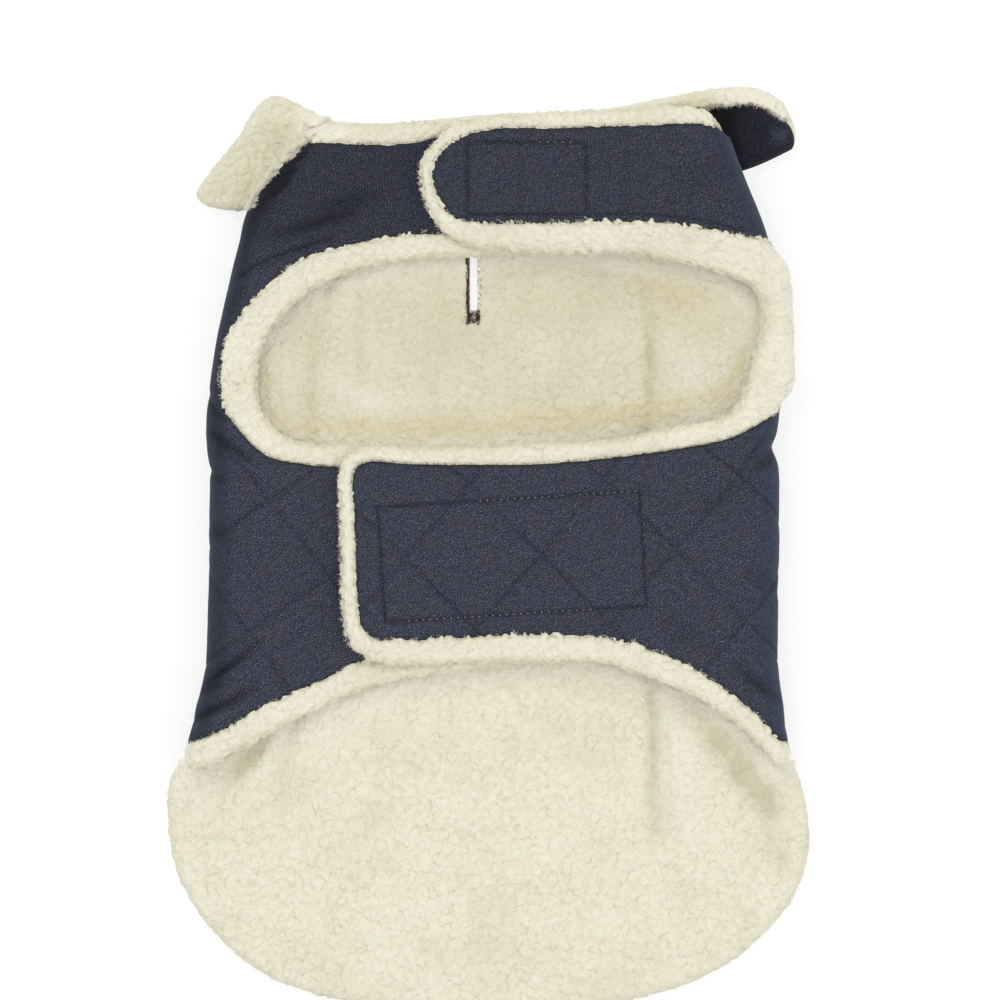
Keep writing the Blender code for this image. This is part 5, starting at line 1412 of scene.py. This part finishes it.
def along_loop(loop, count, rng):
    """Random places on a closed outline with the direction out of it."""
    ahead = np.roll(loop, -1, axis=0)
    run = ahead - loop
    length = np.linalg.norm(run, axis=1)
    chosen = np.sort(rng.random(count)) * length.sum()
    index = np.minimum(np.searchsorted(np.cumsum(length), chosen), len(loop) - 1)
    share = rng.random(count)
    places = loop[index] + share[:, None] * run[index]
    normal = np.column_stack([run[index][:, 1], -run[index][:, 0]]) / length[index][:, None]
    area = (loop[:, 0] * ahead[:, 1] - ahead[:, 0] * loop[:, 1]).sum()
    return places, normal * math.copysign(1.0, area)


def fan(places, out, start, ahead, beside):
    """Roots a way out from places on an edge, and tips that lie ahead and beside them."""
    aside = np.column_stack([-out[:, 1], out[:, 0]])
    root = places + out * start[:, None]
    return root, root + out * ahead[:, None] + aside * beside[:, None]


def fibres(name, roots, tips, rng, radius, maker=("wool_fibre", make_fibre)):
    """Fibres from their roots to their tips, each a little curved."""
    directions = tips - roots
    count = len(roots)
    ups = np.tile(UP, (count, 1)) + rng.normal(0.0, 0.2, (count, 3))
    axes = frames_along(directions, ups, radius * rng.uniform(0.7, 1.3, count))
    length = np.linalg.norm(directions, axis=1)[:, None]
    bends = (rng.normal(0.0, 1.0, (count, 3)) + np.array(UP) / 2) * FIBRE_BEND * length
    return joined(name, fibre_template(), roots, axes, material_of(*maker), 2.0 * bends)


def bare_edge(side, places):
    """Whether places on a front's edge lie over the fold and clear of the other front."""
    keep = places[:, 0] > -2.0
    if side == "left":
        keep &= clearance(FRONT_PLANS["right"], plan(side, places), 12.0) < 0.5
    return keep


def build_fringe(side):
    """Wool fibres that lie over the denim's edge, and threads frayed out of it."""
    rng = np.random.default_rng({"left": 11, "right": 12}[side])
    shell = front_outline(side, SHELLS[side], 1.5)
    places, out = along_loop(shell, int(sizes().fibre_count * {"left": 0.8, "right": 1.0}[side]), rng)
    keep = bare_edge(side, places) & (places[:, 1] < 199.0)
    if side == "right":
        keep &= (places[:, 0] > 15.0) | (places[:, 1] < 188.0)
    places, out = places[keep], out[keep]
    count = len(places)
    wild = fluff(places)
    start = 0.6 - lap_width(side, places) + rng.uniform(-0.3, 1.6, count)
    length = (0.4 + 1.1 * rng.random(count) ** 1.5) * (0.45 + 0.55 * wild) * size_mm("fibre") / 2
    spread = rng.normal(0.0, 0.75, count)
    root, tip = fan(places, out, start, -length * np.cos(spread), length * np.sin(spread))
    root = place_front(side, root, -CROWN * rng.uniform(0.3, 0.9, count))
    tip = place_front(side, tip, -rng.uniform(0.15, 1.1, count) * (0.4 + 0.6 * wild))
    fibres(f"{side}_wool_fibres", root, tip, rng, 0.13)
    places, out = along_loop(shell, FRAYED_COUNT, rng)
    keep = bare_edge(side, places) & (rng.random(len(places)) < 1.1 * (1.0 - fluff(places)))
    places, out = places[keep], out[keep]
    count = len(places)
    spread, length = rng.normal(0.0, 0.9, count), rng.uniform(0.4, 1.1, count)
    start = -rng.uniform(0.3, 1.1, count)
    root, tip = fan(places, out, start, length * np.cos(spread), length * np.sin(spread))
    root = place_front(side, root, np.full(count, -0.15))
    tip = place_front(side, tip, -rng.uniform(0.5, 1.4, count))
    fibres(f"{side}_frayed_threads", root, tip, rng, 0.1, ("fray", make_thread))


def build_lap_fringe():
    """Wool fibres at the right straps' ends, over the left straps."""
    rng = np.random.default_rng(21)
    places, out = along_loop(front_outline("right", RIGHT_LINING, 1.5), LAP_COUNT, rng)
    x, y = plan("right", places).T
    keep = ((x < -52.0) & (y < 44.0) & (y > -56.0)) | ((x < -8.0) & (y > 140.0) & (y < 200.0))
    places, out = places[keep], out[keep]
    count = len(places)
    spread, length = rng.normal(0.0, 0.8, count), rng.uniform(0.6, 1.9, count)
    start = -rng.uniform(0.2, 1.2, count)
    root, tip = fan(places, out, start, length * np.cos(spread), length * np.sin(spread))
    root = place_front("right", root, rng.uniform(1.0, 4.5, count))
    tip = place_front("right", tip, rng.uniform(3.5, 6.6, count))
    fibres("lap_wool_fibres", root, tip, rng, 0.14)


def build_collar_fringe():
    """Wool fibres along the collar's inner edge and round its left tip, over the fronts' denim."""
    rng = np.random.default_rng(31)
    count = COLLAR_COUNT
    x = rng.uniform(-76.0, 142.0, count)
    y = neck_y(x) - RIDGE_DEEP + rng.uniform(0.6, 2.6, count)
    z = np.interp(x, (-76, 108, 142), (13.2, 13.2, 8.6)) - rng.uniform(0.0, 3.0, count)
    roots = np.column_stack([x, y, z])
    spread, length = rng.normal(-math.pi / 2, 0.6, count), rng.uniform(0.8, 2.6, count)
    step = np.column_stack([np.cos(spread) * length, np.sin(spread) * length, rng.uniform(-0.6, 0.8, count)])
    fibres("collar_wool_fibres", roots, roots + step, rng, 0.13)
    count = TIP_COUNT
    spots = np.column_stack([np.zeros(count), rng.uniform(162.0, 197.0, count)])
    root = np.column_stack([tip_reach(spots) - rng.uniform(0.0, 2.2, count), spots[:, 1]])
    spread, length = rng.normal(0.0, 0.8, count), rng.uniform(0.6, 2.2, count)
    tip = root + np.column_stack([length * np.cos(spread), length * np.sin(spread)])
    root = place_front("left", root, -rng.uniform(0.3, 1.4, count))
    tip = place_front("left", tip, -rng.uniform(0.3, 1.8, count))
    fibres("tip_wool_fibres", root, tip, rng, 0.13)


def dress_pads():
    """The hook and loop pads keep their own solids, with the tape's finish."""
    for closure in PADS:
        for kind in ("loop", "hook"):
            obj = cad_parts[f"{closure}_{kind}_pad"]
            obj.material_slots[0].material = material_of("tape_weave", make_tape)


def add_to_stage(name, data, location):
    obj = bpy.data.objects.new(name, data)
    obj.location = location
    bpy.context.scene.collection.objects.link(obj)
    return obj


def build_stage():
    """The pale floor, the soft lights and the camera straight above."""
    bm = bmesh.new()
    below = Matrix.Translation((0.0, 0.0, -0.0004))
    bmesh.ops.create_grid(bm, x_segments=1, y_segments=1, size=3.0, matrix=below)
    mesh = bpy.data.meshes.new("floor")
    bm.to_mesh(mesh)
    bm.free()
    mesh.materials.append(material_of("floor_paper", make_floor))
    floor = add_to_stage("floor", mesh, (0.0, 0.0, 0.0))
    scene = bpy.context.scene
    scene.world = bpy.data.worlds.new("studio")
    scene.world.use_nodes = True
    light_around = scene.world.node_tree.nodes["Background"].inputs
    light_around["Color"].default_value = (1.0, 1.0, 1.0, 1.0)
    light_around["Strength"].default_value = WORLD_LIGHT
    target = Vector((FRAME_X, FRAME_Y, 0.0))
    for name, place, size, power in LIGHTS:
        light = bpy.data.lights.new(name, "AREA")
        light.shape, light.size, light.energy = "DISK", size, power
        obj = add_to_stage(name, light, target + Vector(place))
        obj.rotation_mode = "QUATERNION"
        obj.rotation_quaternion = (-Vector(place)).to_track_quat("-Z", "Y")
    camera = bpy.data.cameras.new("camera")
    camera.lens, camera.sensor_width = LENS, SENSOR
    camera.clip_start, camera.clip_end = 0.1, 20.0
    away = FRAME_SIDE * camera.lens / camera.sensor_width + MIDDLE_HEIGHT
    scene.camera = add_to_stage("camera", camera, (FRAME_X, FRAME_Y, away))
    scene.view_settings.view_transform = "Standard"


# ---- The add-on ----


def length_property(name, description, default):
    return FloatProperty(name=name, description=description, default=default, unit="LENGTH")


class JacketSizes(bpy.types.PropertyGroup):
    curl: length_property("Curl size", "Width of a curl of the pile", 0.0066)
    curl_height: length_property("Curl height", "Relief of the curls", 0.0013)
    puff: length_property("Quilting", "Height of the quilting's puffs", 0.0012)
    fibre: length_property("Fibre length", "Length of the wool fibres", 0.0020)
    fibre_count: IntProperty(name="Fibres", description="Wool fibres along one front's denim", default=7500)
    denim_step: length_property("Denim grid", "Spacing of the denim's mesh", 0.00115)
    pile_step: length_property("Pile edge grid", "Spacing of the rolled edges' mesh", 0.0009)
    back_step: length_property("Back grid", "Spacing of the back pile's mesh", 0.0013)


def colour_property(name, description, default):
    return FloatVectorProperty(
        name=name, description=description, default=default, subtype="COLOR", size=3, min=0.0, max=1.0
    )


class JacketColours(bpy.types.PropertyGroup):
    pile: colour_property("Pile", "Cream of the pile", (0.825, 0.805, 0.640))
    pile_shade: colour_property("Shaded pile", "Tan of the pile in folds", (0.57, 0.525, 0.365))
    # Painted warm shade deep in the folds
    pile_warm_shade: colour_property("Tan pile", "Tan tone deep in the folds", (0.71, 0.61, 0.365))
    # Painted shade between the curls
    pile_gap_shade: colour_property("Pile gaps", "Between the curls", (0.55, 0.49, 0.33))
    denim: colour_property("Denim", "Indigo ground", (0.0235, 0.0215, 0.037))
    denim_blue: colour_property("Bluer denim", "Where the dye is bluer", (0.0145, 0.0235, 0.042))
    denim_light: colour_property("Denim weft", "Pale weft of the twill", (0.150, 0.157, 0.210))
    # Painted bluish sheen round the side folds
    denim_fold_sheen: colour_property("Denim at the side", "Round the side folds", (0.030, 0.045, 0.078))
    # Painted shade at the turned edge, where the denim tucks under the pile
    denim_edge: colour_property("Denim edge", "Turned and frayed edge", (0.028, 0.026, 0.028))
    slot: colour_property("Slot binding", "Brown of the slot's binding", (0.07, 0.035, 0.02))
    floor: colour_property("Floor", "Paper of the floor, beside its glow", (0.30, 0.30, 0.30))


class JACKET_OT_back(bpy.types.Operator):
    """Builds the back: its denim, its pile lining with the tail flap, and the leash slot."""

    bl_idname = "jacket.back"
    bl_label = "Back"

    def execute(self, context):
        build_back_denim()
        build_back_pile()
        build_slot()
        return {"FINISHED"}


class JACKET_OT_linings(bpy.types.Operator):
    """Builds the pile linings of the two fronts, rolled out round the denim."""

    bl_idname = "jacket.linings"
    bl_label = "Front linings"

    def execute(self, context):
        for side in SIDES:
            build_pile_inner(side)
        return {"FINISHED"}


class JACKET_OT_fronts(bpy.types.Operator):
    """Builds the quilted denim of the two fronts."""

    bl_idname = "jacket.fronts"
    bl_label = "Denim fronts"

    def execute(self, context):
        for side in SIDES:
            build_denim(side)
        return {"FINISHED"}


class JACKET_OT_collar(bpy.types.Operator):
    """Builds the collar: its pile side and its denim side."""

    bl_idname = "jacket.collar"
    bl_label = "Collar"

    def execute(self, context):
        build_collar_denim()
        build_collar_pile()
        build_tip_lap()
        return {"FINISHED"}


class JACKET_OT_stitches(bpy.types.Operator):
    """Sews the topstitching and the lines round the pads, and dresses the pads."""

    bl_idname = "jacket.stitches"
    bl_label = "Stitches"

    def execute(self, context):
        build_stitches()
        dress_pads()
        return {"FINISHED"}


class JACKET_OT_fringes(bpy.types.Operator):
    """Lays wool fibres and frayed threads along the edges."""

    bl_idname = "jacket.fringes"
    bl_label = "Fibres"

    def execute(self, context):
        for side in SIDES:
            build_fringe(side)
        build_lap_fringe()
        build_collar_fringe()
        return {"FINISHED"}


class JACKET_OT_stage(bpy.types.Operator):
    """Sets up the floor, the lights and the camera."""

    bl_idname = "jacket.stage"
    bl_label = "Stage"

    def execute(self, context):
        build_stage()
        return {"FINISHED"}


class JACKET_PT_panel(bpy.types.Panel):
    bl_label = "Laid jacket"
    bl_idname = "JACKET_PT_panel"
    bl_space_type = "VIEW_3D"
    bl_region_type = "UI"
    bl_category = "Jacket"

    def draw(self, context):
        layout = self.layout
        for group in (context.scene.jacket_sizes, context.scene.jacket_colours):
            for key in group.__annotations__:
                layout.prop(group, key)
        for operator in OPERATORS:
            layout.operator(operator.bl_idname)


OPERATORS = (
    JACKET_OT_back, JACKET_OT_linings, JACKET_OT_fronts, JACKET_OT_collar, JACKET_OT_stitches,
    JACKET_OT_fringes, JACKET_OT_stage,
)
CLASSES = (JacketSizes, JacketColours, *OPERATORS, JACKET_PT_panel)


def register():
    for cls in CLASSES:
        bpy.utils.register_class(cls)
    bpy.types.Scene.jacket_sizes = PointerProperty(type=JacketSizes)
    bpy.types.Scene.jacket_colours = PointerProperty(type=JacketColours)


def unregister():
    del bpy.types.Scene.jacket_sizes
    del bpy.types.Scene.jacket_colours
    for cls in reversed(CLASSES):
        bpy.utils.unregister_class(cls)


def main():
    register()
    bpy.ops.jacket.back()
    bpy.ops.jacket.linings()
    bpy.ops.jacket.fronts()
    bpy.ops.jacket.collar()
    bpy.ops.jacket.stitches()
    bpy.ops.jacket.fringes()
    bpy.ops.jacket.stage()


if __name__ == "__main__":
    main()
